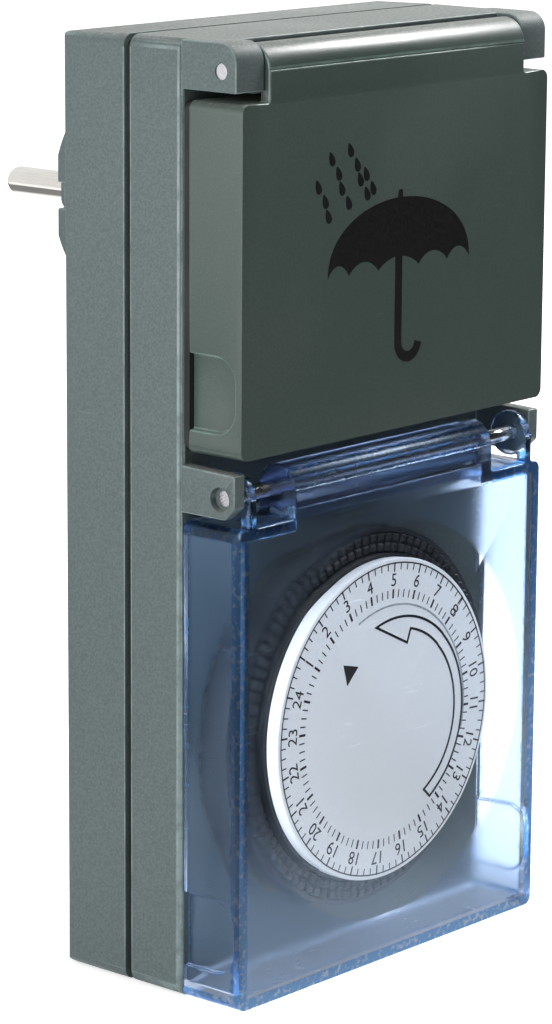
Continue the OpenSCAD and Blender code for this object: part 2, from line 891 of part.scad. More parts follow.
rib_w = 3.6;
rib_rise = 1.4;
rib_start = 1.5;
module socket_insert() {
    color(dark_green) difference() {
        translate([0, 0, z_socket]) union() {
            difference() {
                rod_y(well_r + well_wall, y_mouth, y_well_back);
                rod_y(well_r, y_mouth - cut, y_well);
            }
            both_sides()
                block([well_r - rib_rise, y_mouth + rib_start, -rib_w / 2],
                    [well_r + touch, y_well + touch, rib_w / 2]);
            difference() {
                rod_y(flange_r, y_wall + touch, y_wall + flange_t);
                rod_y(well_r + 0.5, y_wall - cut, y_wall + flange_t + cut);
            }
        }
        at_contacts() rod_y(contact_hole_d / 2, y_well - cut, y_well_back + cut);
        strap_slot(strap_z_top);
        strap_slot(strap_z_foot);
        at_socket_screws() rod_y(socket_screw_r + touch, y_wall - cut, y_wall + flange_t + cut);
    }
}

module socket_screws() {
    color(nickel) at_socket_screws() {
        rod_y(socket_screw_r, y_plane + 0.8, y_wall + flange_t + 0.5);
        rod_y(socket_head_r, y_wall + flange_t + touch, y_wall + flange_t + socket_head_t);
    }
}

module shutter() {
    color(white) difference() {
        along_y(y_shutter, y_shutter + shutter_t)
            round_rect([-shutter_x, z_socket + shutter_foot], [shutter_x, z_socket + shutter_top], 1);
        translate([0, 0, -shutter_travel])
            at_contacts() rod_y(contact_hole_d / 2, y_shutter - cut, y_carrier + cut);
    }
}

spring_stop = 15;
shutter_spring_r = 0.65;
shutter_wire_r = 0.2;
shutter_turns = 6;
module shutter_spring() {
    low = z_socket + shutter_top + shutter_wire_r + 0.05;
    high = z_socket + spring_stop - shutter_wire_r - 0.05;
    n = 10 * shutter_turns;
    points = [
        for (i = [0 : n])
            [
                shutter_spring_r * cos(36 * i),
                y_shutter + shutter_t / 2 + shutter_spring_r * sin(36 * i),
                low + (high - low) * i / n
            ]
    ];
    color(nickel) tube(points, shutter_wire_r, 6);
}

module contact_carrier() {
    stop_z = z_socket + spring_stop;
    color(black) difference() {
        union() {
            along_y(y_carrier, y_carrier + carrier_t)
                round_rect([-carrier_x, z_socket - carrier_z], [carrier_x, stop_z + 2], 2);
            for (x = [-carrier_x, shutter_x + slide_gap])
                block([x, y_well_back + touch, z_socket - carrier_z + 2],
                    [x + carrier_x - shutter_x - slide_gap, y_carrier + touch, stop_z - 2]);
            block([-3, y_well_back + touch, stop_z], [3, y_carrier + touch, stop_z + 2]);
            at_contacts() rod_y(carrier_tube_r, y_carrier, y_contact_end - 2);
        }
        at_contacts() {
            rod_y(contact_hole_d / 2, y_carrier - cut, y_carrier + carrier_t + cut);
            rod_y(contact_r + contact_t + touch, y_carrier + carrier_t, y_contact_end + cut);
        }
    }
}

// A tube contact with a slit, and the tail that its conductor is fixed to.
tail_len = 1.8;
tail_w = 3;
slit_w = 0.8;
module tube_contact(x) {
    color(brass) translate([x, 0, z_socket]) {
        difference() {
            rod_y(contact_r + contact_t, y_contact, y_contact_end);
            rod_y(contact_r, y_contact - cut, y_contact_end + cut);
            block([-slit_w / 2, y_contact - cut, 0], [slit_w / 2, y_contact_end - 2, 2 * contact_r]);
        }
        block([-tail_w / 2, y_contact_end - 1.5, -contact_r - contact_t],
            [tail_w / 2, y_contact_end + tail_len, -contact_r + 0.1]);
    }
}

module live_contact() tube_contact(-pin_spacing / 2);

module neutral_contact() tube_contact(pin_spacing / 2);

// The bar from the neutral pin's root to the neutral contact's tail.
module neutral_bar() {
    x = pin_spacing / 2;
    y_root = insert_back - root_t - touch * 2;
    z_tail = z_socket - contact_r - contact_t;
    t = strip_t;
    color(copper) along_x(x - tail_w / 2, x + tail_w / 2) strip_outline([
        [y_root - t / 2, 2],
        [y_root - t / 2, z_tail - t / 2 - touch],
        [y_contact_end + 0.2, z_tail - t / 2 - touch]
    ], t);
}

// ---------- lid and timer cover ----------

// A finger grip's outline in Y and Z: round at its two front corners.
module grip_outline(z) {
    front = y_front + grip_front;
    back = y_plane + cut;
    translate([front + grip_r, z]) square([back - front - grip_r, grip_h]);
    translate([front, z + grip_r]) square([grip_r + touch, grip_h - 2 * grip_r]);
    for (end = [z + grip_r, z + grip_h - grip_r])
        translate([front + grip_r, end]) circle(grip_r);
}

// A cover's shell, open at its rear.
module cover_shell(foot, top, back) {
    w = cover_wall;
    difference() {
        along_y(y_front, back)
            round_rect([-cover_x, foot], [cover_x, top], cover_corner_r);
        along_y(y_front + w, back + cut)
            round_rect([-cover_x + w, foot + w], [cover_x - w, top - w], cover_corner_r / 2);
    }
}

// The web and barrel that hang a cover on its pin.
module cover_barrel(x0, x1, r, z_pin, top) {
    along_x(x0, x1) {
        translate([y_hinge, z_pin]) circle(r);
        translate([y_front, top - cover_wall]) square([cover_wall, z_pin - top + cover_wall]);
        translate([y_front, z_pin - 0.6]) square([hinge_back, 0.6]);
    }
}

lid_back = y_plane - lid_seal_t - 0.1;
module socket_lid() {
    half = top_ear_x - ear_gap;
    color(dark_green) difference() {
        union() {
            cover_shell(z_lid_foot, z_lid_top, lid_back);
            cover_barrel(-half, half, lid_barrel_r, z_lid_pin, z_lid_top);
        }
        rod_x(hinge_pin_r + running, -half - cut, half + cut, y_hinge, z_lid_pin);
        rod_x(spring_bore_r, -spring_half - 0.5, spring_half + 0.5, y_hinge, z_lid_pin);
        spring_leg_slot();
        both_sides()
            along_x(cover_x - grip_depth, cover_x + cut) grip_outline(lid_grip_z);
    }
}

// The slot in the barrel that the lid swings past the spring's fixed leg with.
module spring_leg_slot() {
    far = lid_barrel_r + barrel_gap + 0.2;
    translate([0, y_hinge, z_lid_pin])
        along_x(spring_half - slot_w, spring_half + 0.5)
            polygon(concat([[0, 0]], [for (a = [-70 : 29 : 75]) polar(far, a)]));
}

module lid_seal() {
    w = cover_wall;
    color(black) along_y(lid_back + touch, y_plane - 0.1) difference() {
        round_rect([-cover_x + 0.2, z_lid_foot + 0.2], [cover_x - 0.2, z_lid_top - 0.2], cover_corner_r);
        round_rect([-cover_x + w, z_lid_foot + w], [cover_x - w, z_lid_top - w], cover_corner_r / 2);
    }
}

module lid_pin() {
    color(nickel) rod_x(hinge_pin_r, -case_w / 2 + 0.2, case_w / 2 - 0.2, y_hinge, z_lid_pin);
}

// The lid's closing spring: a coil round the pin, and a leg that leans on the case.
module lid_spring() {
    n = 12 * spring_turns;
    reach = (y_plane - y_hinge - 0.5) / cos(leg_angle);
    coil_x = spring_half - slot_w / 2 - 0.1;
    coil = [
        for (i = [0 : n])
            [
                -spring_half + 0.4 + (coil_x + spring_half - 0.4) * i / n,
                spring_coil_r * cos(leg_angle - 90 + 30 * (i - n)),
                spring_coil_r * sin(leg_angle - 90 + 30 * (i - n))
            ]
    ];
    end = coil[n];
    leg = [for (s = [0.2, 0.6, 1]) end + s * reach * [0, cos(leg_angle), sin(leg_angle)]];
    color(nickel) translate([0, y_hinge, z_lid_pin]) tube(concat(coil, leg), spring_wire_r, 6);
}

// The hollow hood that carries the timer cover's front wall up to its barrel.
module cover_hood() {
    half = cover_barrel_half;
    back = y_hinge + cover_barrel_r;
    difference() {
        block([-half, y_front, z_cover_top - cover_wall], [half, back, z_cover_pin]);
        block([-half + hood_wall, y_front + cover_wall, z_cover_top - cover_wall - cut],
            [half - hood_wall, back - hood_wall, z_cover_pin + cut]);
    }
}

module timer_cover() {
    back = y_plane - 0.15;
    half = cover_barrel_half;
    color(clear_blue) difference() {
        union() {
            difference() {
                cover_shell(z_foot, z_cover_top, back);
                block([-half + hood_wall, y_front + cover_wall, z_cover_top - cover_wall - cut],
                    [half - hood_wall, y_hinge + cover_barrel_r - hood_wall, z_cover_top + cut]);
            }
            cover_hood();
            rod_x(cover_barrel_r, -half, half, y_hinge, z_cover_pin);
            both_sides()
                cover_barrel(knuckle_x[0], knuckle_x[1], cover_barrel_r, z_cover_pin, z_cover_top);
        }
        rod_x(hinge_pin_r + running, -case_w, case_w, y_hinge, z_cover_pin);
        both_sides()
            along_x(cover_x - grip_depth, cover_x + cut) grip_outline(cover_grip_z);
    }
}

module cover_pin() {
    end = case_w / 2 - pin_end_recess - touch;
    color(nickel) rod_x(hinge_pin_r, -end, end, y_hinge, z_cover_pin);
}

// ---------- dial ----------

module around_dial(angle) {
    translate([0, 0, z_dial])
        rotate([0, -angle, 0]) children();
}

function segment_angle(i) = (i + 0.5) * 360 / segments;

// A solid of revolution about a line along Y, from its outline in radius and Y.
module turned(z, outline) {
    translate([0, 0, z])
        rotate([-90, 0, 0])
            rotate_extrude() polygon(outline);
}

module dial_drum() {
    bore = spindle_r + running;
    front = y_drum + touch;
    inside = front + drum_disc_t;
    end = y_gear - touch;
    rim = y_segment + 0.8;
    color(black) difference() {
        turned(z_dial, [
            [bore, front],
            [tube_r, front],
            [tube_r, y_drum_floor],
            [drum_r - ring_wall, y_drum_floor],
            [drum_r - ring_wall, rim],
            [drum_r, rim],
            [drum_r, y_drum_floor + drum_floor_t],
            [tube_r, y_drum_floor + drum_floor_t],
            [tube_r, end],
            [tube_r - tube_wall, end],
            [tube_r - tube_wall, inside],
            [hub_r, inside],
            [hub_r, end],
            [bore, end]
        ]);
        for (i = [0 : segments - 1])
            around_dial(segment_angle(i))
                block([foot_r - slot_h / 2, y_drum_floor - cut, -slot_across / 2],
                    [foot_r + slot_h / 2, y_drum_floor + drum_floor_t + cut, slot_across / 2]);
    }
}

// The toothed ring at the drum's rear, with a pierced web.
module drum_gear() {
    color(black) difference() {
        gear(drum_module, drum_teeth, y_gear, y_gear_end, z_dial);
        turned(z_dial, [
            [hub_r, y_gear - cut],
            [tube_r - tube_wall - 2, y_gear - cut],
            [tube_r - tube_wall - 2, y_gear_end - gear_web_t],
            [hub_r, y_gear_end - gear_web_t]
        ]);
        for (a = [30 : 60 : 330])
            translate([web_hole_ring * cos(a), 0, z_dial + web_hole_ring * sin(a)])
                rod_y(web_hole_r, y_gear - cut, y_gear_end + cut);
        rod_y(spindle_r + running, y_gear - cut, y_gear_end + cut, 0, z_dial);
    }
}

module dial_face() {
    color(white) difference() {
        rod_y(dial_r, y_dial, y_drum, 0, z_dial);
        rod_y(pocket_r, y_drum - retainer_t - 0.35, y_drum + cut, 0, z_dial);
    }
}

// A quarter of the segments: a head to push and a foot that the follower feels.
module segment_bank(first) {
    color(black) for (i = [first : first + bank - 1])
        around_dial(segment_angle(i)) {
            block([tube_r + ring_gap, y_segment, -head_w / 2],
                [drum_r - ring_wall - ring_gap, y_segment + head_len, head_w / 2]);
            block([foot_r - foot_h / 2, y_segment + head_len - touch, -foot_w / 2],
                [foot_r + foot_h / 2, y_drum_floor + drum_floor_t - 0.1, foot_w / 2]);
        }
}

module segments_early() segment_bank(bank / 2);

module segments_night() segment_bank(bank * 3 / 2);

module segments_late() segment_bank(bank * 5 / 2);

module segments_day() segment_bank(bank * 7 / 2);

module dial_spindle() {
    color(nickel) difference() {
        union() {
            rod_y(spindle_r, y_drum - 0.05, y_plate_a + plate_t, 0, z_dial);
            rod_y(hub_r, y_gear_end + 0.1, y_plate_a - touch, 0, z_dial);
        }
        rod_y(retainer_shank_r + touch, y_drum - cut, y_drum + 7, 0, z_dial);
    }
}

module dial_retainer() {
    color(nickel) {
        rod_y(retainer_r, y_drum - 0.1 - retainer_t, y_drum - 0.1, 0, z_dial);
        rod_y(retainer_shank_r, y_drum - 0.2, y_drum + 6, 0, z_dial);
    }
}

// ---------- movement ----------

module movement_plate(y, x_holes) {
    difference() {
        along_y(y, y + plate_t)
            round_rect([-plate_x, plate_foot], [plate_x, plate_top], plate_corner_r);
        for (hole = x_holes)
            rod_y(hole[0], y - cut, y + plate_t + cut, 0, hole[1]);
        at_pillars() rod_y(pillar_screw_r + touch, y - cut, y + plate_t + cut);
    }
}

module movement_plate_front() {
    color(brass)
        movement_plate(y_plate_a, [[spindle_r + touch, z_dial], [sleeve_r + 0.15, idler_z]]);
}

module movement_plate_rear() {
    color(brass)
        movement_plate(y_plate_b, [[idler_axle_r + touch, idler_z], [shaft_r + running, drive_z]]);
}

module plate_pillars() {
    color(brass) at_pillars() difference() {
        rod_y(pillar_r, y_plate_a + plate_t + touch, y_plate_b - touch);
        rod_y(pillar_screw_r + touch, y_plate_a, y_plate_b + cut);
    }
}

module movement_screws() {
    color(nickel) at_pillars() {
        rod_y(pillar_screw_r, y_wall + screw_tip, y_gearbox + pillar_head_t / 2);
        rod_y(pillar_r, y_gearbox + touch, y_gearbox + pillar_head_t);
    }
}

module idler_pinion() {
    color(white) difference() {
        union() {
            gear(drum_module, pinion_teeth, y_gear + 0.1, y_gear_end, idler_z, 90 + 180 / pinion_teeth);
            rod_y(sleeve_r, y_gear_end - touch, y_wheel + wheel_w, 0, idler_z);
        }
        rod_y(idler_axle_r + running, y_gear - cut, y_wheel + wheel_w + cut, 0, idler_z);
    }
}

module idler_wheel() {
    color(white) difference() {
        gear(wheel_module, wheel_teeth, y_wheel, y_wheel + wheel_w, idler_z);
        rod_y(sleeve_r + touch, y_wheel - cut, y_wheel + wheel_w + cut, 0, idler_z);
    }
}

module idler_axle() {
    color(nickel) rod_y(idler_axle_r, y_gear + 0.1, y_plate_b + plate_t, 0, idler_z);
}

module drive_pinion() {
    color(brass) difference() {
        gear(wheel_module, pinion_teeth, y_drive, y_drive + drive_w, drive_z, 90 + 180 / pinion_teeth);
        rod_y(shaft_r + touch, y_drive - cut, y_drive + drive_w + cut, 0, drive_z);
    }
}

module output_shaft() {
    color(nickel) rod_y(shaft_r, y_drive - 0.3, y_motor - 0.9, 0, drive_z);
}

module output_wheel() {
    y = y_gearbox + can_wall + 0.3;
    color(brass) difference() {
        gear(output_module, output_wheel_teeth, y, y + output_wheel_w, drive_z);
        rod_y(shaft_r + touch, y - cut, y + output_wheel_w + cut, 0, drive_z);
    }
}

module gearbox_housing() {
    color(white) difference() {
        rod_y(motor_r, y_gearbox + touch, y_motor, 0, motor_z);
        rod_y(motor_r - gearbox_wall, y_gearbox + can_wall, y_motor - gearbox_back_t, 0, motor_z);
        rod_y(shaft_r + running, y_gearbox - cut, y_gearbox + 2, 0, drive_z);
        rod_y(rotor_shaft_r + running, y_motor - 2, y_motor + cut, 0, motor_z);
    }
}

module motor_can() {
    color(nickel) difference() {
        rod_y(motor_r, y_motor + touch, y_motor_end, 0, motor_z);
        rod_y(motor_r - can_wall, y_motor - cut, y_motor_end - can_wall, 0, motor_z);
        rod_y(rotor_shaft_r + running, y_motor_end - can_wall - cut, y_motor_end + cut, 0, motor_z);
    }
}

y_bobbin = y_motor + 0.1;
y_bobbin_end = y_motor_end - can_wall - 0.1;
module ring_y(r_in, r_out, y0, y1) {
    difference() {
        rod_y(r_out, y0, y1, 0, motor_z);
        rod_y(r_in, y0 - cut, y1 + cut, 0, motor_z);
    }
}

module coil_bobbin() {
    color(white) {
        ring_y(bobbin_r[0], winding_r[0] - touch, y_bobbin, y_bobbin_end);
        ring_y(bobbin_r[0], bobbin_r[1], y_bobbin, y_bobbin + bobbin_flange);
        ring_y(bobbin_r[0], bobbin_r[1], y_bobbin_end - bobbin_flange, y_bobbin_end);
    }
}

module coil_winding() {
    y = y_bobbin + bobbin_flange + touch;
    color(copper) ring_y(winding_r[0], winding_r[1], y, y_bobbin_end - bobbin_flange - touch);
}

module rotor_magnet() {
    color(black) ring_y(rotor_shaft_r + touch, rotor_r, y_bobbin + 0.3, y_bobbin_end - 0.3);
}

module rotor_shaft() {
    color(nickel) rod_y(rotor_shaft_r, y_motor - 1.4, y_motor_end - 0.1, 0, motor_z);
}

// ---------- switch ----------

module cam_follower() {
    x0 = follower_x - follower_w / 2;
    x1 = follower_x + follower_w / 2;
    color(white) difference() {
        union() {
            block([x0, y_follower, z_dial - nose_base], [x1, y_follower + follower_t, follower_z]);
            rod_x(pivot_hub_r, x0, x1, y_pivot, follower_z);
            along_x(x0, x1) polygon([
                [y_follower + touch, z_dial - nose_base],
                [y_follower - nose_len, z_dial - nose_tip],
                [y_follower - nose_len, z_dial + nose_tip],
                [y_follower + touch, z_dial + nose_base]
            ]);
        }
        rod_x(pivot_r + running, x0 - cut, x1 + cut, y_pivot, follower_z);
    }
}

module follower_axle() {
    reach = follower_w / 2 + lug_gap + lug_w;
    color(nickel) rod_x(pivot_r, follower_x - reach, follower_x + reach, y_pivot, follower_z);
}

y_box_end = y_box + box_depth;
module switch_body() {
    color(black) difference() {
        block([box_x[0], y_box, box_z[0]], [box_x[1], y_box_end, box_z[1]]);
        block([box_x[0] + box_wall, y_box + box_wall, box_z[0] + box_wall],
            [box_x[1] + cut, y_box_end - box_wall, box_z[1] - box_wall]);
        rod_y(button_r + running, y_box - cut, y_box + box_wall + cut, follower_x, button_z);
        rod_y(tail_r + touch, y_box_end - box_wall - cut, y_box_end + cut, follower_x, z_stud);
        block([follower_x - blade_w / 2 - touch, y_box_end - box_wall - cut, blade_z + terminal_z[0] - touch],
            [follower_x + blade_w / 2 + touch, y_box_end + cut, blade_z + terminal_z[1] + touch]);
    }
}

module switch_cover() {
    color(black) block([box_x[1] + touch, y_box, box_z[0]], [box_x[1] + box_cover_t, y_box_end, box_z[1]]);
}

module switch_button() {
    y_flange_end = y_button_flange + button_flange_t;
    color(white) {
        rod_y(button_r, y_follower + follower_t + button_play, y_flange_end, follower_x, button_z);
        rod_y(button_flange_r, y_button_flange, y_flange_end, follower_x, button_z);
        rod_y(button_nub_r, y_button_flange, y_button_end, follower_x, button_z);
    }
}

module switch_blade() {
    y = y_blade + blade_t;
    w = blade_w / 2;
    color(copper) {
        block([follower_x - w, y_blade, blade_z - blade_len], [follower_x + w, y, blade_z]);
        rod_y(contact_stud_r, y - touch, y + contact_stud_t, follower_x, z_stud);
        rod_x(blade_root_r, follower_x - w, follower_x + w, y_blade + blade_t / 2, blade_z);
    }
}

module fixed_contact() {
    front = y_blade + blade_t + contact_stud_t + contact_gap;
    color(copper) {
        rod_y(fixed_r, front, front + fixed_t, follower_x, z_stud);
        rod_y(tail_r, front + fixed_t - touch, y_box_end + tail_out, follower_x, z_stud);
    }
}

module blade_terminal() {
    color(copper)
        block([follower_x - blade_w / 2, y_blade - 0.2, blade_z + terminal_z[0]],
            [follower_x + blade_w / 2, y_box_end + tail_out, blade_z + terminal_z[1]]);
}

// ---------- wires ----------

module live_wire_in() {
    color("saddlebrown") translate([0, y_end, 0]) tube(smooth(wire_in_route), wire_r);
}

module live_wire_out() {
    color("saddlebrown") translate([0, y_end, 0]) tube(smooth(wire_out_route), wire_r);
}

module motor_lead_live() {
    color("saddlebrown") translate([0, y_end, 0]) tube(smooth(lead_live_route), lead_r);
}

module motor_lead_neutral() {
    color("royalblue") translate([0, y_end, 0]) tube(smooth(lead_neutral_route), lead_r);
}

rear_case();
front_case();
case_seal();
case_screws();
plug_insert();
plug_pin_left();
plug_pin_right();
plug_earth_clips();
earth_strap();
socket_insert();
socket_screws();
shutter();
shutter_spring();
contact_carrier();
live_contact();
neutral_contact();
neutral_bar();
socket_lid();
lid_seal();
lid_pin();
lid_spring();
timer_cover();
cover_pin();
dial_drum();
drum_gear();
dial_face();
segments_early();
segments_night();
segments_late();
segments_day();
dial_spindle();
dial_retainer();
movement_plate_front();
movement_plate_rear();
plate_pillars();
movement_screws();
idler_pinion();
idler_wheel();
idler_axle();
drive_pinion();
output_shaft();
output_wheel();
gearbox_housing();
motor_can();
coil_bobbin();
coil_winding();
rotor_magnet();
rotor_shaft();
cam_follower();
follower_axle();
switch_body();
switch_cover();
switch_button();
switch_blade();
fixed_contact();
blade_terminal();
live_wire_in();
live_wire_out();
motor_lead_live();
motor_lead_neutral();
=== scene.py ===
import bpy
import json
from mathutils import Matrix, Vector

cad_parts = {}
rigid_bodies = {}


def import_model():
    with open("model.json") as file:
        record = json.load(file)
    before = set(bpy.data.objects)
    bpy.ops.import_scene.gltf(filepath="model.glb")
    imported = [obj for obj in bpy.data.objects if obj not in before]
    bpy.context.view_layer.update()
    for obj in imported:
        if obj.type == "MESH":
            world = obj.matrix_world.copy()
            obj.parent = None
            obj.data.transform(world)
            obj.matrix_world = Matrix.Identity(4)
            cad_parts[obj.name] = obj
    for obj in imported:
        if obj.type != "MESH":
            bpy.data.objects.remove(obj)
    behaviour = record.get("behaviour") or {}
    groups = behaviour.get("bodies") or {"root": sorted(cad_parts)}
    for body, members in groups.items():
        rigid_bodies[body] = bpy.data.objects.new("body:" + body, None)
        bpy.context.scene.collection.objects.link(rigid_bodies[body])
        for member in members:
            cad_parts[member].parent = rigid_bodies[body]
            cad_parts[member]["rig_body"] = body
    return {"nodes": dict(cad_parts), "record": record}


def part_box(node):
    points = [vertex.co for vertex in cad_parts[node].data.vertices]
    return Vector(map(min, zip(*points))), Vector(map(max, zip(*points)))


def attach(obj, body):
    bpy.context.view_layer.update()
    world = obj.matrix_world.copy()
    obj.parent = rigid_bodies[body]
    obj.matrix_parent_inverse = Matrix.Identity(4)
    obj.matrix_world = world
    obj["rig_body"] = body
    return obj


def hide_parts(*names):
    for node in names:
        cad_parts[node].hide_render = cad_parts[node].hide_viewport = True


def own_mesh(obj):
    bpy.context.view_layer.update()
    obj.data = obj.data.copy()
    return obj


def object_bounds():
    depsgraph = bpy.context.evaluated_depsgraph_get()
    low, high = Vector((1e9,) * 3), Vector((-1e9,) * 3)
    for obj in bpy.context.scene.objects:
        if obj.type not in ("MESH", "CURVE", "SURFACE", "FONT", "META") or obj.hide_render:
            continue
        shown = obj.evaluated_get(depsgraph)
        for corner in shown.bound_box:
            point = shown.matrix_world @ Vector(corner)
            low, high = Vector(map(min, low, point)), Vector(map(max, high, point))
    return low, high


bl_info = {
    "name": "Plug In Timer Switch",
    "version": (1, 0, 0),
    "blender": (4, 5, 0),
    "location": "3D View > Sidebar > Timer Switch",
    "description": "Finishes an outdoor plug in timer switch and sets it in a plain studio",
    "category": "Object",
}

import json
import math

import bmesh
import bpy
from bpy.props import FloatProperty, FloatVectorProperty, IntProperty, PointerProperty
from bpy.types import Operator, Panel, PropertyGroup
from mathutils import Matrix, Vector

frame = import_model()
NODES = frame["nodes"]
CAD_LOW, CAD_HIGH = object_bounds()
MM = 0.001

COVER_LOW, COVER_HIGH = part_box("timer_cover")
LID_LOW, LID_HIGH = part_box("socket_lid")
DIAL_LOW, DIAL_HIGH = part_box("dial_face")
DIAL_CENTRE = Vector(((DIAL_LOW.x + DIAL_HIGH.x) / 2, DIAL_LOW.y, (DIAL_LOW.z + DIAL_HIGH.z) / 2))

WELD = 0.002 * MM              # points closer than this are one point
INK = 0.03 * MM                # thickness of a printed mark
SUNK = 0.01 * MM               # how far a printed mark reaches into its surface
EDGE = "edge"                  # attribute that is 1 on rounded edges
SLIM = 0.21 * MM               # widest face that counts as part of a small fillet
SQUARE = 0.998                 # a face with more of its normal along one axis isn't part of a fillet
FLAT = math.radians(0.4)       # faces at less than this angle are joined
CREASE = math.radians(38.0)    # edges at more than this angle are rounded
SMOOTH = math.radians(30)      # edges at more than this angle stay sharp in the shading
SHORTEST = 1.2                 # shortest edge that is rounded, as a multiple of the rounding's width
PIN_EDGE = 0.3 * MM            # radius on the edges of the hinge pins and the dial's disc
DIGIT_SHARE = 0.70             # height of a digit as a share of the font's size
LEAST_MITRE = 0.35             # limits how far the corner of a printed line reaches out


def srgb(red, green, blue):
    """The linear values of a colour given as it looks on a screen, from 0 to 1."""
    return tuple(v / 12.92 if v <= 0.04045 else ((v + 0.055) / 1.055) ** 2.4 for v in (red, green, blue))


def length(name, description, millimetres):
    return FloatProperty(name=name, description=description, default=millimetres * MM, min=0, unit="LENGTH",
                         precision=5)


def colour(name, description, red, green, blue):
    return FloatVectorProperty(name=name, description=description, default=srgb(red, green, blue),
                               min=0, max=1, subtype="COLOR")


def share(name, description, value, top=1.0):
    return FloatProperty(name=name, description=description, default=value, min=0, max=top)


def angle(name, description, degrees):
    return FloatProperty(name=name, description=description, default=math.radians(degrees), subtype="ANGLE")


def power(name, description, watts):
    return FloatProperty(name=name, description=description, default=watts, unit="POWER")


def whole(name, description, value, least):
    return IntProperty(name=name, description=description, default=value, min=least)


# ---- sizes and colours

class HousingSettings(PropertyGroup):
    case_colour: colour("Case", "Colour of the two halves of the case", 0.29, 0.328, 0.328)
    # The lid is darker than the case, partly its own colour and partly painted shade for its front.
    lid_colour: colour("Lid", "Colour of the socket lid and its insert", 0.210, 0.258, 0.243)
    plug_colour: colour("Plug", "Colour of the plug insert", 0.07, 0.07, 0.075)
    case_edge: length("Case edge", "Radius on the sharp edges of the case", 0.25)
    lid_edge: length("Lid edge", "Radius on the sharp edges of the lid", 0.35)
    grain: length("Grain", "Size of the spark eroded grain", 0.42)
    grain_depth: share("Grain depth", "How deep the spark eroded grain looks", 0.35)
    # How much paler the rubbed edges are: partly wear, partly a painted highlight.
    wear: share("Edge wear", "How much paler the rubbed edges are", 0.6)


class CoverSettings(PropertyGroup):
    tint: colour("Tint", "Colour that the clear plastic lets through", 0.22, 0.56, 0.86)
    veil: colour("Veil", "Colour of the plastic outside its window and of what it mirrors", 0.66, 0.83, 1.0)
    # The edge colour and the strip's width paint the blue light that the cover's edges gather.
    edge_tint: colour("Edge tint", "Colour of the light that the cover's edges gather", 0.24, 0.55, 0.90)
    edge_width: length("Edge width", "Width of the tinted strip along the cover's edges", 2.05)
    shoulder: length("Shoulder", "How far the cover's shoulders lie below the top of its barrel", 8.25)
    hood_half: length("Half hood", "Half the width of the hood between the cover's shoulders", 24.4)
    density: FloatProperty(name="Density", description="How strongly the plastic takes up light, per metre",
                           default=36.0, min=0)
    edge: length("Edge", "Radius on the sharp edges of the cover", 0.4)
    window_r: length("Window radius", "Radius of the polished window before the dial", 32.5)
    haze: share("Haze", "Roughness of the cover outside its window", 0.16)


class DialSettings(PropertyGroup):
    dial_colour: colour("Dial", "Colour of the day dial", 0.90, 0.918, 0.915)
    ink_colour: colour("Ink", "Colour of the printed marks", 0.06, 0.07, 0.08)
    faint_colour: colour("Faint ink", "Colour of the fine line outside the arrow", 0.55, 0.58, 0.60)
    ring_r: length("Ring radius", "Radius of the printed line along the rim", 25.5)
    ring_width: length("Ring width", "Width of the printed line along the rim", 0.22)
    outer_tick_r: length("Outer tick radius", "Middle radius of the outer row of ticks", 24.85)
    inner_tick_r: length("Inner tick radius", "Middle radius of the inner row of ticks", 20.5)
    number_r: length("Number radius", "Middle radius of the row of hours", 22.65)
    number_height: length("Number height", "Height of the hour numbers", 2.1)
    ticks: whole("Ticks", "Ticks in each row, one for each quarter hour", 96, 24)
    turn: angle("Turn", "How far the print is turned clockwise from hour five at the top", 4.2)


class LidPrintSettings(PropertyGroup):
    ink_colour: colour("Ink", "Colour of the rain sign on the lid", 0.02, 0.02, 0.03)
    canopy_half: length("Half canopy", "Half the width of the umbrella", 17.3)
    canopy_rise: length("Canopy rise", "Height of the canopy over its points", 11.0)
    shaft_width: length("Shaft width", "Width of the shaft and its hook", 1.7)
    hook_r: length("Hook radius", "Radius of the handle's hook", 2.5)
    rim_height: length("Rim height", "Height of the canopy's points over the foot of the lid", 25.6)
    drop_length: length("Drop length", "Length of one rain drop", 2.35)


class SegmentSettings(PropertyGroup):
    count: whole("Count", "Segments in one bank", 24, 1)
    places: whole("Places", "Segments round the whole drum", 96, 4)
    head_width: length("Head width", "Width of a segment's head", 1.45)
    head_length: length("Head length", "Length of a segment's head towards the rim", 3.0)
    head_height: length("Head height", "Height of a segment's head", 2.3)
    head_edge: length("Head edge", "Bevel on the edges of a segment's head", 0.22)
    groove: length("Groove", "Depth of the nail groove across a segment's head", 0.4)
    foot_width: length("Foot width", "Width of a segment's foot", 0.9)
    foot_length: length("Foot length", "Length of a segment's foot towards the rim", 1.2)


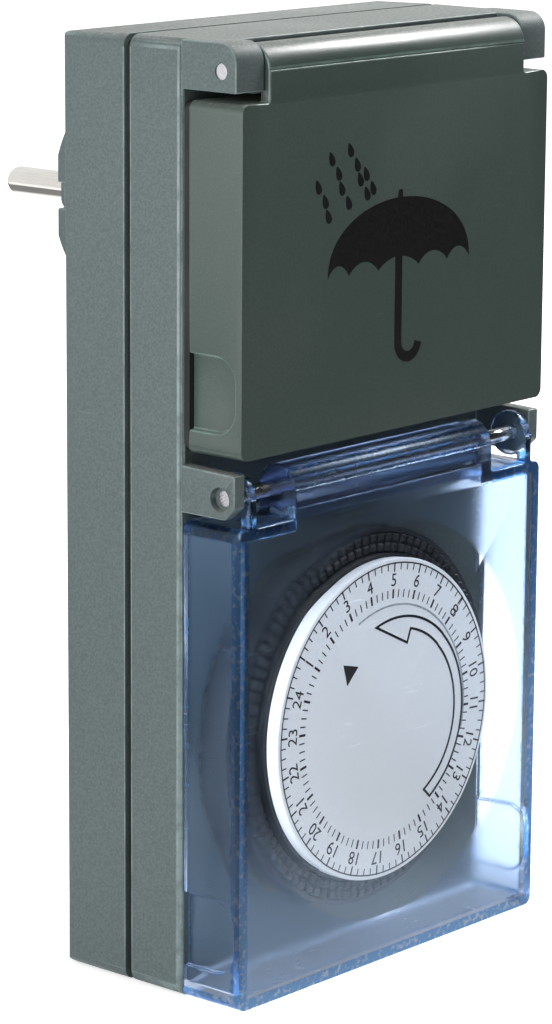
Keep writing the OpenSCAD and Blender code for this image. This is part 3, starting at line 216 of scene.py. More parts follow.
class StudioSettings(PropertyGroup):
    floor_colour: colour("Floor", "Colour of the floor", 0.93, 0.93, 0.93)
    floor_glow: share("Floor glow", "Light added to the floor so that it shows white", 0.42)
    far_glow: share("Far glow", "Light added to the floor far from the object", 1.0)
    pane_glow: share("Pane glow", "Further light on the floor where it is seen through the cover", 0.2)
    key_power: power("Key", "Power of the large lamp at the left", 7.2)
    front_power: power("Front", "Power of the lamp in front", 0.32)
    top_power: power("Top", "Power of the lamp overhead", 1.4)
    rim_power: power("Rim", "Power of the small lamp high on the right", 9.0)
    ambient: share("Ambient", "Strength of the light from all round", 0.26, 2.0)
    # How much light the painted dark reflections of the cards leave.
    card: share("Dark card", "How much light the dark cards leave in the gloss and in the clear cover", 0.03)
    focal: FloatProperty(name="Focal length", description="Focal length of the camera in millimetres",
                         default=136.09)
    azimuth: angle("Azimuth", "Direction that the camera looks from, round the object", -48.919)
    elevation: angle("Elevation", "Height angle that the camera looks from", 12.477)
    roll: angle("Roll", "How far the camera leans", 0.370)
    distance: length("Distance", "How far the camera stands from its aim", 611.43)
    aim_right: length("Aim right", "How far the aim lies to the right of the picture's middle", 19.047)
    aim_up: length("Aim up", "How far the aim lies above the picture's middle", 1.272)
    aim_height: length("Aim height", "Height of the aim over the foot of the case", 75.0)


# ---- node trees

def operation(kind):
    """A method of a Tree that adds a math node of one kind."""
    return lambda tree, *values, **settings: tree.math(kind, *values, **settings)


class Tree:
    """Adds nodes to a node tree and joins them."""
    plus, minus, times = operation("ADD"), operation("SUBTRACT"), operation("MULTIPLY")
    largest, smallest = operation("MAXIMUM"), operation("MINIMUM")

    def __init__(self, tree):
        self.tree = tree

    def feed(self, socket, value):
        """Joins a socket to another one, or sets its value."""
        if isinstance(value, bpy.types.NodeSocket):
            self.tree.links.new(value, socket)
        else:
            socket.default_value = value

    def add(self, kind, inputs=None, **settings):
        """A new node with these settings, and with these inputs by name or by number."""
        made = self.tree.nodes.new(kind)
        for name, value in settings.items():
            setattr(made, name, value)
        for name, value in (inputs or {}).items():
            self.feed(made.inputs[name], value)
        return made

    def math(self, operation, *values, clamp=False):
        inputs = dict(enumerate(values))
        return self.add("ShaderNodeMath", inputs, operation=operation, use_clamp=clamp).outputs[0]

    def vector_math(self, operation, *values):
        made = self.add("ShaderNodeVectorMath", dict(enumerate(values)), operation=operation)
        return made.outputs["Value" if operation in ("LENGTH", "DOT_PRODUCT") else "Vector"]

    def spread(self, value, low, high, start=0.0, end=1.0):
        """Maps a value between start and end to low and high, with soft ends."""
        inputs = {"Value": value, "From Min": start, "From Max": end, "To Min": low, "To Max": high}
        return self.add("ShaderNodeMapRange", inputs, interpolation_type="SMOOTHSTEP").outputs["Result"]

    def mask(self, value, start, end):
        """1 where a value has passed from start to end, and 0 before."""
        return self.spread(value, 0.0, 1.0, start, end)

    def mixed(self, factor, first, second):
        """The mix of two colours."""
        return self.add("ShaderNodeMix", {0: factor, 6: first, 7: second}, data_type="RGBA").outputs[2]

    def laid_over(self, base, mask, amount, colour):
        """A colour with another one laid over it where a mask is 1, by an amount from 0 to 1."""
        return self.mixed(self.times(mask, amount), base, colour)

    def object_place(self):
        return self.add("ShaderNodeTexCoord").outputs["Object"]

    def stretched(self, scale):
        """Object coordinates with a scale of their own along each axis."""
        return self.add("ShaderNodeMapping", {"Vector": self.object_place(), "Scale": scale}).outputs[0]

    def noise(self, scale, detail=2.0, roughness=0.5, distortion=0.0, place=None):
        """The value of a noise texture, on Object coordinates where no other place is given."""
        return self.add("ShaderNodeTexNoise", {
            "Vector": self.object_place() if place is None else place, "Scale": scale, "Detail": detail,
            "Roughness": roughness, "Distortion": distortion}).outputs["Fac"]

    def bump(self, height, strength, distance):
        """The normal that a height gives, which is distance high in metres."""
        return self.shader("Bump", {"Height": height, "Strength": strength, "Distance": distance})

    def shader(self, kind, inputs):
        """The first output of a shader node with these inputs."""
        return self.add("ShaderNode" + kind, inputs).outputs[0]

    def mixed_shaders(self, factor, first, second):
        return self.shader("MixShader", {0: factor, 1: first, 2: second})


def rgba(values):
    return (*values, 1.0)


WHITE = rgba((1, 1, 1))


def shader_group(name, inputs, outputs):
    """An empty shader group with named float inputs and outputs: (tree, its givens, its results)."""
    group = bpy.data.node_groups.new(name, "ShaderNodeTree")
    for title, value in inputs:
        socket = group.interface.new_socket(title, in_out="INPUT", socket_type="NodeSocketFloat")
        socket.default_value = value
    for title in outputs:
        group.interface.new_socket(title, in_out="OUTPUT", socket_type="NodeSocketFloat")
    tree = Tree(group)
    return tree, tree.add("NodeGroupInput").outputs, tree.add("NodeGroupOutput").inputs


def spark_grain_group():
    """The fine pitted grain that a spark eroded mould leaves on plastic."""
    tree, given, out = shader_group("spark_grain", [("Grain Size", 0.4 * MM)], ["Height", "Shade"])
    scale = tree.math("DIVIDE", 1.0, given["Grain Size"])
    pits = tree.noise(scale, detail=3.0, roughness=0.65)
    cells = tree.add("ShaderNodeTexVoronoi", {"Vector": tree.object_place(), "Scale": scale},
                     feature="SMOOTH_F1").outputs["Distance"]
    height = tree.plus(tree.times(pits, 0.7), tree.times(cells, 0.3))
    tree.feed(out["Height"], height)
    tree.feed(out["Shade"], tree.mask(pits, 0.32, 0.68))
    return tree.tree


def handling_group():
    """Broad uneven patches and fine scuffs from handling."""
    tree, given, out = shader_group("handling_marks", [("Patch Size", 30 * MM)], ["Patch", "Scuff"])
    patch = tree.noise(tree.math("DIVIDE", 1.0, given["Patch Size"]))
    scratch = tree.noise(1.0, distortion=0.6, place=tree.stretched((240, 240, 2600)))
    sparse = tree.noise(90.0)
    marks = tree.times(tree.mask(scratch, 0.62, 0.72), tree.mask(sparse, 0.5, 0.65))
    tree.feed(out["Patch"], tree.mask(patch, 0.3, 0.7))
    tree.feed(out["Scuff"], marks)
    return tree.tree


def dust_group():
    """Dust that settles on faces that look up."""
    tree, given, out = shader_group("settled_dust", [("Amount", 0.3)], ["Mask"])
    normal = tree.add("ShaderNodeNewGeometry").outputs["Normal"]
    up = tree.add("ShaderNodeSeparateXYZ", {"Vector": normal}).outputs["Z"]
    speck = tree.noise(1900.0, detail=3.0)
    lying = tree.times(tree.mask(up, 0.55, 1.0), tree.spread(speck, 0.35, 1.0, 0.4, 0.7))
    tree.feed(out["Mask"], tree.times(lying, given["Amount"]))
    return tree.tree


def drawn_lines_group():
    """Fine lines along one axis, as on drawn, turned or rolled metal."""
    tree, given, out = shader_group(
        "drawn_lines", [("Scale X", 900.0), ("Scale Y", 900.0), ("Scale Z", 900.0)], ["Height", "Streak"])
    axes = [given["Scale " + axis] for axis in "XYZ"]
    stretch = tree.add("ShaderNodeCombineXYZ", dict(zip("XYZ", axes))).outputs[0]
    place = tree.vector_math("MULTIPLY", tree.object_place(), stretch)
    lines = tree.noise(1.0, detail=4.0, roughness=0.7, place=place)
    tree.feed(out["Height"], lines)
    tree.feed(out["Streak"], tree.mask(lines, 0.3, 0.7))
    return tree.tree


def rubbed_edge_group():
    """A broken mask along the rounded edges, from the attribute that the rounding leaves; it marks rubbed
    edges and the painted highlight along them.
    """
    tree, given, out = shader_group("rubbed_edge", [("Patch Size", 4 * MM)], ["Mask"])
    edge = tree.add("ShaderNodeAttribute", attribute_name=EDGE).outputs["Fac"]
    patch = tree.noise(tree.math("DIVIDE", 1.0, given["Patch Size"]), detail=4.0, roughness=0.7)
    kept = tree.spread(patch, 0.35, 1.0, 0.35, 0.6)
    tree.feed(out["Mask"], tree.times(edge, kept))
    return tree.tree


GROUP_MAKERS = {
    "rubbed_edge": rubbed_edge_group,
    "spark_grain": spark_grain_group,
    "handling_marks": handling_group,
    "settled_dust": dust_group,
    "drawn_lines": drawn_lines_group,
}


def placed_group(tree, name, **inputs):
    """One of the shared groups, placed in a material with its own values."""
    group = bpy.data.node_groups.get(name) or GROUP_MAKERS[name]()
    placed = tree.add("ShaderNodeGroup", node_tree=group)
    for title, value in inputs.items():
        tree.feed(placed.inputs[title.replace("_", " ")], value)
    return placed.outputs


# ---- materials

def new_material(name):
    """A material with nothing but its output: (material, tree, sockets of the output)."""
    material = bpy.data.materials.new(name)
    material.use_nodes = True
    material.node_tree.nodes.clear()
    tree = Tree(material.node_tree)
    return material, tree, tree.add("ShaderNodeOutputMaterial").inputs


def show(tree, out, inputs):
    """Gives a material a Principled BSDF with these inputs as its surface."""
    tree.feed(out["Surface"], tree.shader("BsdfPrincipled", inputs))


def shade(values, factor):
    return rgba([v * factor for v in values])


# Marks on a surface: how strongly each shows, and its own colour as a multiple of the surface's.
# The paler rubbed edges are partly wear and partly a painted highlight along the rounded edges.
# RUBBED_POLISH is how much less rough a rubbed edge is.
PATCH, PATCH_SHADE = 0.10, 0.7
SCUFF, SCUFF_SHADE = 0.25, 1.8
RUBBED_AND_HIGHLIT_SHADE, RUBBED_POLISH = 3.2, 0.12
TARNISH_SHADE = 0.5
DUST = srgb(0.72, 0.72, 0.69)
BLOOM, BLOOM_COLOUR = 0.35, srgb(0.2, 0.2, 0.2)
# Pale specks in the painted light along the cover's edges.
EDGE_LIGHT_SPECK = rgba((0.7, 0.88, 1.0))    # pale specks along the cover's edges
VEILED = 0.45                          # how strongly the veil shows outside the cover's window
WAVES = 20                             # radians in a metre of the wave texture at scale 1


def moulded(name, values, grain, depth=0.1, roughness=0.4, specular=0.4, contrast=0.05, dust=0.0, wear=0.0):
    """Moulded plastic with a spark eroded grain, uneven sheen, rubbed edges that are paler partly as a
    painted highlight, and a little dust.
    """
    material, tree, out = new_material(name)
    texture = placed_group(tree, "spark_grain", Grain_Size=grain)
    marks = placed_group(tree, "handling_marks", Patch_Size=35 * MM)
    base = tree.mixed(texture["Shade"], shade(values, 1 - contrast), shade(values, 1 + contrast))
    base = tree.laid_over(base, marks["Patch"], PATCH, shade(values, PATCH_SHADE))
    base = tree.laid_over(base, marks["Scuff"], SCUFF, shade(values, SCUFF_SHADE))
    if dust:
        base = tree.mixed(placed_group(tree, "settled_dust", Amount=dust)["Mask"], base, rgba(DUST))
    rough = tree.spread(marks["Patch"], roughness - 0.05, roughness + 0.06)
    if wear:
        rubbed_and_highlit = placed_group(tree, "rubbed_edge", Patch_Size=4 * MM)["Mask"]
        # Paler rubbed edges: partly wear, partly a painted highlight along the rounded edges.
        base = tree.laid_over(base, rubbed_and_highlit, wear, shade(values, RUBBED_AND_HIGHLIT_SHADE))
        rough = tree.minus(rough, tree.times(rubbed_and_highlit, RUBBED_POLISH))
    show(tree, out, {"Base Color": base, "Roughness": rough, "Specular IOR Level": specular,
                     "Normal": tree.bump(texture["Height"], depth, 0.25 * grain)})
    return material


def rubber(name, values):
    """Soft rubber with a matt bloom."""
    material, tree, out = new_material(name)
    texture = placed_group(tree, "spark_grain", Grain_Size=0.3 * MM)
    marks = placed_group(tree, "handling_marks", Patch_Size=12 * MM)
    base = tree.laid_over(rgba(values), marks["Patch"], BLOOM, rgba(BLOOM_COLOUR))
    show(tree, out, {"Base Color": base, "Roughness": 0.75, "Specular IOR Level": 0.3,
                     "Normal": tree.bump(texture["Height"], 0.25, 0.05 * MM)})
    return material


def metal(name, values, roughness, lines, depth=0.12, tarnish=0.15):
    """Bare or plated metal with fine lines along one axis and a little tarnish."""
    material, tree, out = new_material(name)
    drawn = placed_group(tree, "drawn_lines", Scale_X=lines[0], Scale_Y=lines[1], Scale_Z=lines[2])
    marks = placed_group(tree, "handling_marks", Patch_Size=6 * MM)
    base = tree.mixed(drawn["Streak"], shade(values, 0.9), rgba(values))
    base = tree.laid_over(base, marks["Patch"], tarnish, shade(values, TARNISH_SHADE))
    rough = tree.plus(tree.times(drawn["Streak"], 0.3 * roughness),
                      tree.spread(marks["Patch"], 0.8 * roughness, 1.3 * roughness))
    show(tree, out, {"Base Color": base, "Roughness": rough, "Metallic": 1.0,
                     "Normal": tree.bump(drawn["Height"], depth, 0.02 * MM)})
    return material


def wound_wire(name, values, run):
    """Enamelled copper wire wound in close turns about the Y axis, each of them run times 2 pi wide, with
    painted shade in the grooves between the turns.
    """
    material, tree, out = new_material(name)
    turns = tree.add("ShaderNodeTexWave", {
        "Vector": tree.object_place(), "Scale": 1 / (WAVES * run), "Distortion": 0.4, "Detail": 1.0},
        bands_direction="Y").outputs["Fac"]
    marks = placed_group(tree, "handling_marks", Patch_Size=4 * MM)
    # Painted shade: darker in the grooves between the turns.
    base = tree.mixed(turns, shade(values, 0.35), rgba(values))
    base = tree.laid_over(base, marks["Patch"], 0.3, shade(values, 0.6))
    show(tree, out, {"Base Color": base, "Roughness": 0.32, "Metallic": 0.85,
                     "Normal": tree.bump(turns, 0.8, 0.4 * run)})
    return material


def printed_ink(name, values):
    """Screen printed ink, slightly uneven."""
    material, tree, out = new_material(name)
    texture = placed_group(tree, "spark_grain", Grain_Size=0.5 * MM)
    base = tree.mixed(texture["Shade"], rgba(values), shade(values, 1.7))
    show(tree, out, {"Base Color": base, "Roughness": tree.spread(texture["Shade"], 0.42, 0.55),
                     "Specular IOR Level": 0.3})
    return material


def edge_strips(tree, settings):
    """A mask on the strips of the cover's faces with a wall behind them, where the blue light that the
    plastic gathers is painted.

    A point lies on such a strip if its second smallest distance from the cover's outer faces is small.
    """
    place = tree.add("ShaderNodeSeparateXYZ", {"Vector": tree.object_place()}).outputs
    half = (COVER_HIGH.x - COVER_LOW.x) / 2
    across = tree.math("ABSOLUTE", tree.minus(place["X"], COVER_LOW.x + half))
    side = tree.minus(half, across)
    front = tree.minus(place["Y"], COVER_LOW.y)
    shoulder = tree.math("ABSOLUTE", tree.minus(COVER_HIGH.z - settings.shoulder, place["Z"]))
    hood = tree.math("LESS_THAN", across, settings.hood_half)
    foot = tree.minus(place["Z"], COVER_LOW.z)
    top = tree.minus(COVER_HIGH.z, place["Z"])
    end = tree.smallest(tree.smallest(foot, tree.plus(shoulder, hood)), top)
    second = tree.largest(tree.smallest(side, front), tree.smallest(tree.largest(side, front), end))
    return tree.spread(second, 1.0, 0.0, 0.85 * settings.edge_width, settings.edge_width)


def clear_plastic(name, settings):
    """Tinted clear plastic, hazy outside the polished round window before the dial, with painted blue light
    along its edges.
    """
    material, tree, out = new_material(name)
    away = tree.vector_math("SUBTRACT", tree.object_place(), tuple(DIAL_CENTRE))
    flat = tree.vector_math("MULTIPLY", away, (1, 0, 1))
    radius = tree.vector_math("LENGTH", flat)
    blend = 0.3 * MM
    outside = tree.mask(radius, settings.window_r - blend, settings.window_r + blend)
    marks = placed_group(tree, "handling_marks", Patch_Size=20 * MM)
    rubbed_and_highlit = placed_group(tree, "rubbed_edge", Patch_Size=1.2 * MM)["Mask"]
    edge = tree.largest(edge_strips(tree, settings), rubbed_and_highlit)
    rough = tree.plus(tree.times(outside, settings.haze), tree.spread(marks["Scuff"], 0.015, 0.12))
    rough = tree.plus(rough, tree.times(edge, 0.1))
    speck = tree.spread(tree.noise(900.0, detail=3.0), 0.0, 0.7, 0.5, 0.68)
    # Painted light: the strips along the edges take a blue colour with pale specks, standing for light that
    # the plastic gathers.
    painted_edge_light = tree.mixed(speck, rgba(settings.edge_tint), EDGE_LIGHT_SPECK)
    pane = tree.laid_over(WHITE, outside, VEILED, rgba(settings.veil))
    wave = tree.noise(160.0, detail=1.0)
    plastic = tree.shader("BsdfPrincipled", {
        "Base Color": tree.mixed(edge, pane, painted_edge_light), "Roughness": rough, "IOR": 1.5,
        "Specular Tint": rgba(settings.veil), "Transmission Weight": 1.0,
        "Normal": tree.bump(wave, 0.08, 0.2 * MM)})
    in_shadow = tree.add("ShaderNodeLightPath").outputs["Is Shadow Ray"]
    surface = tree.mixed_shaders(in_shadow, plastic, tree.shader("BsdfTransparent", {"Color": WHITE}))
    tree.feed(out["Surface"], surface)
    tree.feed(out["Volume"], tree.shader("VolumeAbsorption", {
        "Color": rgba(settings.tint), "Density": settings.density}))
    return material


# Metals by slot: colour, roughness, lines per metre along X, Y and Z, depth of the lines, tarnish
METALS = {
    "screw_zinc": ((0.80, 0.80, 0.82), 0.30, (2500, 400, 2500), 0.12, 0.15),
    "pin_nickel": ((0.90, 0.89, 0.87), 0.06, (3000, 150, 3000), 0.05, 0.10),
    "contact_brass": ((0.83, 0.69, 0.38), 0.24, (400, 2200, 400), 0.12, 0.15),
    "copper": ((0.80, 0.50, 0.33), 0.26, (400, 400, 2200), 0.12, 0.15),
    "steel": ((0.76, 0.76, 0.78), 0.20, (120, 2600, 2600), 0.10, 0.15),
    "plate_brass": ((0.82, 0.71, 0.42), 0.30, (120, 900, 2600), 0.12, 0.15),
    "can_steel": ((0.68, 0.69, 0.71), 0.32, (900, 120, 900), 0.12, 0.15),
}
# Plastics by slot: colour, size of the grain as a share of the case's, its depth, roughness,
# specular level, contrast of the grain, dust
PLASTICS = {
    "shutter_white": ((0.85, 0.85, 0.82), 1.0, 0.12, 0.40, 0.40, 0.03, 0.0),
    "drum_black": ((0.09, 0.10, 0.11), 1.0, 0.20, 0.42, 0.40, 0.15, 0.15),
    "gear_white": ((0.89, 0.89, 0.86), 1.0, 0.08, 0.35, 0.45, 0.03, 0.0),
    "magnet_black": ((0.17, 0.17, 0.18), 0.6, 0.30, 0.55, 0.50, 0.20, 0.0),
    "wire_brown": ((0.33, 0.19, 0.11), 1.0, 0.10, 0.40, 0.40, 0.05, 0.0),
    "wire_blue": ((0.14, 0.30, 0.62), 1.0, 0.10, 0.40, 0.40, 0.05, 0.0),
}


def finish(slot):
    """The material of one of the record's slots, made the first time that it is asked for."""
    title = "finish_" + slot
    made = bpy.data.materials.get(title)
    if made:
        return made
    scene = bpy.context.scene
    housing = scene.timer_housing
    grain, depth = housing.grain, housing.grain_depth
    if slot in METALS:
        values, *look = METALS[slot]
        return metal(title, srgb(*values), *look)
    if slot in PLASTICS:
        values, size, *look = PLASTICS[slot]
        return moulded(title, srgb(*values), grain * size, *look)
    makers = {
        "case_grey_green": lambda: moulded(
            title, housing.case_colour, grain, depth, roughness=0.48, specular=0.22, contrast=0.16,
            dust=0.35, wear=housing.wear),
        "lid_dark_green": lambda: moulded(
            title, housing.lid_colour, 0.8 * grain, 0.7 * depth, roughness=0.38, specular=0.5,
            contrast=0.12, dust=0.3, wear=1.5 * housing.wear),
        "plug_black": lambda: moulded(
            title, housing.plug_colour, grain, 0.25, roughness=0.45, contrast=0.2, dust=0.2),
        "dial_white": lambda: moulded(
            title, scene.timer_dial.dial_colour, grain, 0.08, roughness=0.38, contrast=0.025),
        "seal_black": lambda: rubber(title, srgb(0.05, 0.05, 0.05)),
        "winding_copper": lambda: wound_wire(title, srgb(0.74, 0.38, 0.2), 0.25 * MM),
        "cover_clear": lambda: clear_plastic(title, scene.timer_cover),
    }
    return makers[slot]()


def slot_of(node):
    """The record's material slot of a CAD node."""
    for part in frame["record"]["subparts"]:
        if part["node"] == node:
            return part["material_slot"]
    raise RuntimeError(f"no material slot for {node}")


def dress(*nodes):
    """Gives CAD nodes that stay as they are their finish."""
    for node in nodes:
        mesh = NODES[node].data
        mesh.materials.clear()
        mesh.materials.append(finish(slot_of(node)))


# ---- shapes

def new_object(name, data):
    """An object of the scene, at the origin."""
    made = bpy.data.objects.new(name, data)
    bpy.context.scene.collection.objects.link(made)
    return made


def new_piece(name, mesh, body, slot, material=None, stands_for=()):
    """A piece that rides on a body, takes its finish from a slot and may stand for CAD nodes."""
    piece = new_object(name, mesh)
    if not mesh.materials:
        mesh.materials.append(material or finish(slot))
    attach(piece, body)
    if stands_for:
        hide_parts(*stands_for)
    return piece


def stand_in(name, mesh, node):
    """A piece that stands for one CAD node, on the same body and with the same slot."""
    return new_piece(name, mesh, NODES[node]["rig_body"], slot_of(node), stands_for=(node,))


def evaluated_mesh(maker, name):
    """The mesh of an object with its modifiers applied; the object itself is removed."""
    bpy.context.view_layer.update()
    graph = bpy.context.evaluated_depsgraph_get()
    mesh = bpy.data.meshes.new_from_object(maker.evaluated_get(graph), depsgraph=graph)
    mesh.name = name
    maker.modifiers.clear()
    bpy.data.objects.remove(maker)
    return mesh


def merged(node):
    """A bmesh copy of a CAD node with its loose triangles joined."""
    shape = bmesh.new()
    shape.from_mesh(NODES[node].data)
    bmesh.ops.remove_doubles(shape, verts=shape.verts, dist=WELD)
    return shape


def softened(node, name, width):
    """Replaces a CAD node with a copy whose sharp edges are rounded, apart from the shortest ones."""
    shape = merged(node)
    bmesh.ops.dissolve_limit(shape, angle_limit=FLAT, verts=shape.verts, edges=shape.edges)
    weight = shape.edges.layers.float.new("bevel_weight_edge")
    for edge in shape.edges:
        sharp = edge.is_manifold and edge.calc_face_angle() > CREASE
        edge[weight] = float(sharp and edge.calc_length() > SHORTEST * width)
    mesh = bpy.data.meshes.new(name)
    shape.to_mesh(mesh)
    shape.free()
    for _ in range(2):
        mesh.materials.append(finish(slot_of(node)))
    maker = new_object(name + "_maker", mesh)
    rounding = maker.modifiers.new("rounding", "BEVEL")
    rounding.limit_method = "WEIGHT"
    rounding.width = width
    rounding.segments = 3
    rounding.material = 1
    rounding.use_clamp_overlap = False
    rounding.miter_outer = "MITER_ARC"
    finished = evaluated_mesh(maker, name)
    mark_edges(finished)
    keep_inside(finished, *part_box(node))
    finished.shade_smooth()
    finished.set_sharp_from_angle(angle=SMOOTH)
    stand_in(name, finished, node)


def mark_edges(mesh):
    """Writes the edge attribute on small fillets and on the faces with the rounding's second material."""
    inner = [1.0] * len(mesh.vertices)
    for face in mesh.polygons:
        places = [mesh.vertices[corner].co for corner in face.vertices]
        longest = max((a - b).length for a, b in zip(places, places[1:] + places[:1]))
        slim = face.area < SLIM * longest and max(abs(v) for v in face.normal) < SQUARE
        if face.material_index == 0 and not slim:
            for corner in face.vertices:
                inner[corner] = 0.0
    mesh.attributes.new(EDGE, "FLOAT", "POINT").data.foreach_set("value", inner)
    mesh.materials.clear()


def keep_inside(mesh, low, high):
    """Pulls the few points that a rounded corner throws out back to the solid's own box."""
    for point in mesh.vertices:
        point.co = [min(max(c, a), b) for c, a, b in zip(point.co, low, high)]


def arc(centre, radius, start, end, steps):
    """Points along an arc, with its angles in degrees clockwise from the top."""
    points = []
    for i in range(steps + 1):
        turn = math.radians(start + (end - start) * i / steps)
        points.append(Vector((centre[0] + radius * math.sin(turn), centre[1] + radius * math.cos(turn))))
    return points


def ribbon(points, width, closed=False):
    """The left and right edges of a band along a line of 2D points, with mitred corners."""
    left, right = [], []
    count = len(points)
    for i, point in enumerate(points):
        before = points[i - 1] if closed or i > 0 else point
        after = points[(i + 1) % count] if closed or i < count - 1 else point
        into = (point - before).normalized() if point != before else (after - point).normalized()
        onward = (after - point).normalized() if after != point else into
        side = Vector((-into.y - onward.y, into.x + onward.x)).normalized()
        reach = width / 2 / max(LEAST_MITRE, side.dot(Vector((-into.y, into.x))))
        left.append(point + side * reach)
        right.append(point - side * reach)
    return left, right


def add_plate(shape, outline, front, back):
    """A flat solid between two depths with a 2D outline in X and Z."""
    front_ring = [shape.verts.new((p[0], front, p[1])) for p in outline]
    back_ring = [shape.verts.new((p[0], back, p[1])) for p in outline]
    shape.faces.new(front_ring)
    shape.faces.new(list(reversed(back_ring)))
    for i in range(len(outline)):
        j = (i + 1) % len(outline)
        shape.faces.new((front_ring[j], front_ring[i], back_ring[i], back_ring[j]))


def add_band(shape, points, width, front, back, closed=False):
    """A flat printed line of one width along 2D points in X and Z."""
    corners = []
    for a, b in zip(*ribbon(points, width, closed)):
        ring = ((a, front), (b, front), (b, back), (a, back))
        corners.append([shape.verts.new((p.x, y, p.y)) for p, y in ring])
    count = len(points)
    for i in range(count if closed else count - 1):
        here, there = corners[i], corners[(i + 1) % count]
        for k in range(4):
            shape.faces.new((here[k], here[(k + 1) % 4], there[(k + 1) % 4], there[k]))
    if not closed:
        shape.faces.new(list(reversed(corners[0])))
        shape.faces.new(corners[-1])


def add_rectangle(shape, wide, tall, front, back):
    """A flat block round the origin."""
    x, z = wide / 2, tall / 2
    add_plate(shape, [(-x, -z), (x, -z), (x, z), (-x, z)], front, back)


def mesh_of(shape, name):
    """The mesh of a finished bmesh, with its faces outwards."""
    bmesh.ops.recalc_face_normals(shape, faces=shape.faces)
    mesh = bpy.data.meshes.new(name)
    shape.to_mesh(mesh)
    shape.free()
    return mesh


def text_mesh(words, height, name):
    """The flat mesh of some digits, centred on the origin, in X and Y."""
    curve = bpy.data.curves.new(name, "FONT")
    curve.body = words
    curve.align_x = "CENTER"
    curve.align_y = "CENTER"
    curve.size = height / DIGIT_SHARE
    curve.resolution_u = 3
    maker = new_object(name, curve)
    mesh = evaluated_mesh(maker, name)
    bpy.data.curves.remove(curve)
    return mesh


# ---- repeated shapes

def spokes_tree(name, material):
    """A geometry tree that sets copies of one shape on a ring in X and Z, each turned outwards.

    Its inputs are the shape, the count, how many places go round, the first place, the ring's radius and
    centre, and how many times larger every fourth copy is across and along.
    """
    group = bpy.data.node_groups.new(name, "GeometryNodeTree")
    for title, kind in (("Geometry", "Geometry"), ("Count", "Int"), ("Places", "Int"), ("Offset", "Float"),
                        ("Radius", "Float"), ("Centre", "Vector"), ("Hour Width", "Float"),
                        ("Hour Length", "Float")):
        group.interface.new_socket(title, in_out="INPUT", socket_type="NodeSocket" + kind)
    group.interface.new_socket("Geometry", in_out="OUTPUT", socket_type="NodeSocketGeometry")
    tree = Tree(group)
    given = tree.add("NodeGroupInput").outputs
    out = tree.add("NodeGroupOutput").inputs
    row = tree.add("GeometryNodeMeshLine", {"Count": given["Count"]})
    index = tree.add("GeometryNodeInputIndex").outputs[0]
    step = tree.math("DIVIDE", math.tau, given["Places"])
    turn = tree.times(tree.plus(index, given["Offset"]), step)
    x = tree.times(tree.math("SINE", turn), given["Radius"])
    z = tree.times(tree.math("COSINE", turn), given["Radius"])
    flat = tree.add("ShaderNodeCombineXYZ", {"X": x, "Z": z}).outputs[0]
    spot = tree.vector_math("ADD", flat, given["Centre"])
    placed = tree.add("GeometryNodeSetPosition", {"Geometry": row.outputs[0], "Position": spot})
    fourth = tree.math("COMPARE", tree.math("MODULO", index, 4.0), 0.0, 0.1)
    wide, long = [
        tree.plus(1.0, tree.times(fourth, tree.minus(given[title], 1.0)))
        for title in ("Hour Width", "Hour Length")]
    scale = tree.add("ShaderNodeCombineXYZ", {"X": wide, "Y": 1.0, "Z": long}).outputs[0]
    facing = tree.add("ShaderNodeCombineXYZ", {"Y": turn}).outputs[0]
    copies = tree.add("GeometryNodeInstanceOnPoints", {
        "Points": placed.outputs[0], "Instance": given["Geometry"], "Rotation": facing, "Scale": scale})
    real = tree.add("GeometryNodeRealizeInstances", {"Geometry": copies.outputs[0]})
    painted = tree.add("GeometryNodeSetMaterial", {"Geometry": real.outputs[0], "Material": material})
    tree.feed(out["Geometry"], painted.outputs[0])
    return group


def spoked(name, mesh, material, values):
    """The mesh of copies of one shape round a ring, made by the spokes tree with these input values."""
    maker = new_object(name + "_maker", mesh)
    tree = spokes_tree(name + "_spokes", material)
    modifier = maker.modifiers.new("spokes", "NODES")
    modifier.node_group = tree
    for item in tree.interface.items_tree:
        if item.in_out == "INPUT" and item.name in values:
            modifier[item.identifier] = values[item.name]
    return evaluated_mesh(maker, name)


# ---- operators

class BuildCase(Operator):
    """Round the edges of the case halves and finish the seal and the screws"""
    bl_idname = "timer_switch.case"
    bl_label = "Case"

    def execute(self, context):
        edge = context.scene.timer_housing.case_edge
        softened("rear_case", "rear_case_shell", edge)
        softened("front_case", "front_case_shell", edge)
        dress("case_seal", "case_screws")
        return {"FINISHED"}


class BuildPlug(Operator):
    """Finish the plug insert, its pins and its earth clips"""
    bl_idname = "timer_switch.plug"
    bl_label = "Plug"

    def execute(self, context):
        dress("plug_insert", "plug_pin_left", "plug_pin_right", "plug_earth_clips", "earth_strap")
        return {"FINISHED"}


class BuildSocket(Operator):
    """Finish the socket insert, its shutter and the contacts behind it"""
    bl_idname = "timer_switch.socket"
    bl_label = "Socket"

    def execute(self, context):
        dress("socket_insert", "socket_screws", "shutter", "contact_carrier", "live_contact",
              "neutral_contact", "neutral_bar")
        self.coil("shutter_spring")
        return {"FINISHED"}

    def coil(self, node):
        """The shutter's spring, a smoothly shaded copy of its CAD node with a mesh of its own; nothing here
        shortens it as the shutter rises.
        """
        mesh = mesh_of(merged(node), "shutter_coil")
        mesh.shade_smooth()
        coil = stand_in("shutter_coil", mesh, node)
        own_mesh(coil)


class BuildLid(Operator):
    """Round the edges of the socket lid and finish its seal, pin and spring"""
    bl_idname = "timer_switch.lid"
    bl_label = "Socket lid"

    def execute(self, context):
        softened("socket_lid", "socket_lid_shell", context.scene.timer_housing.lid_edge)
        softened("lid_pin", "lid_pin_rod", PIN_EDGE)
        dress("lid_seal", "lid_spring")
        return {"FINISHED"}


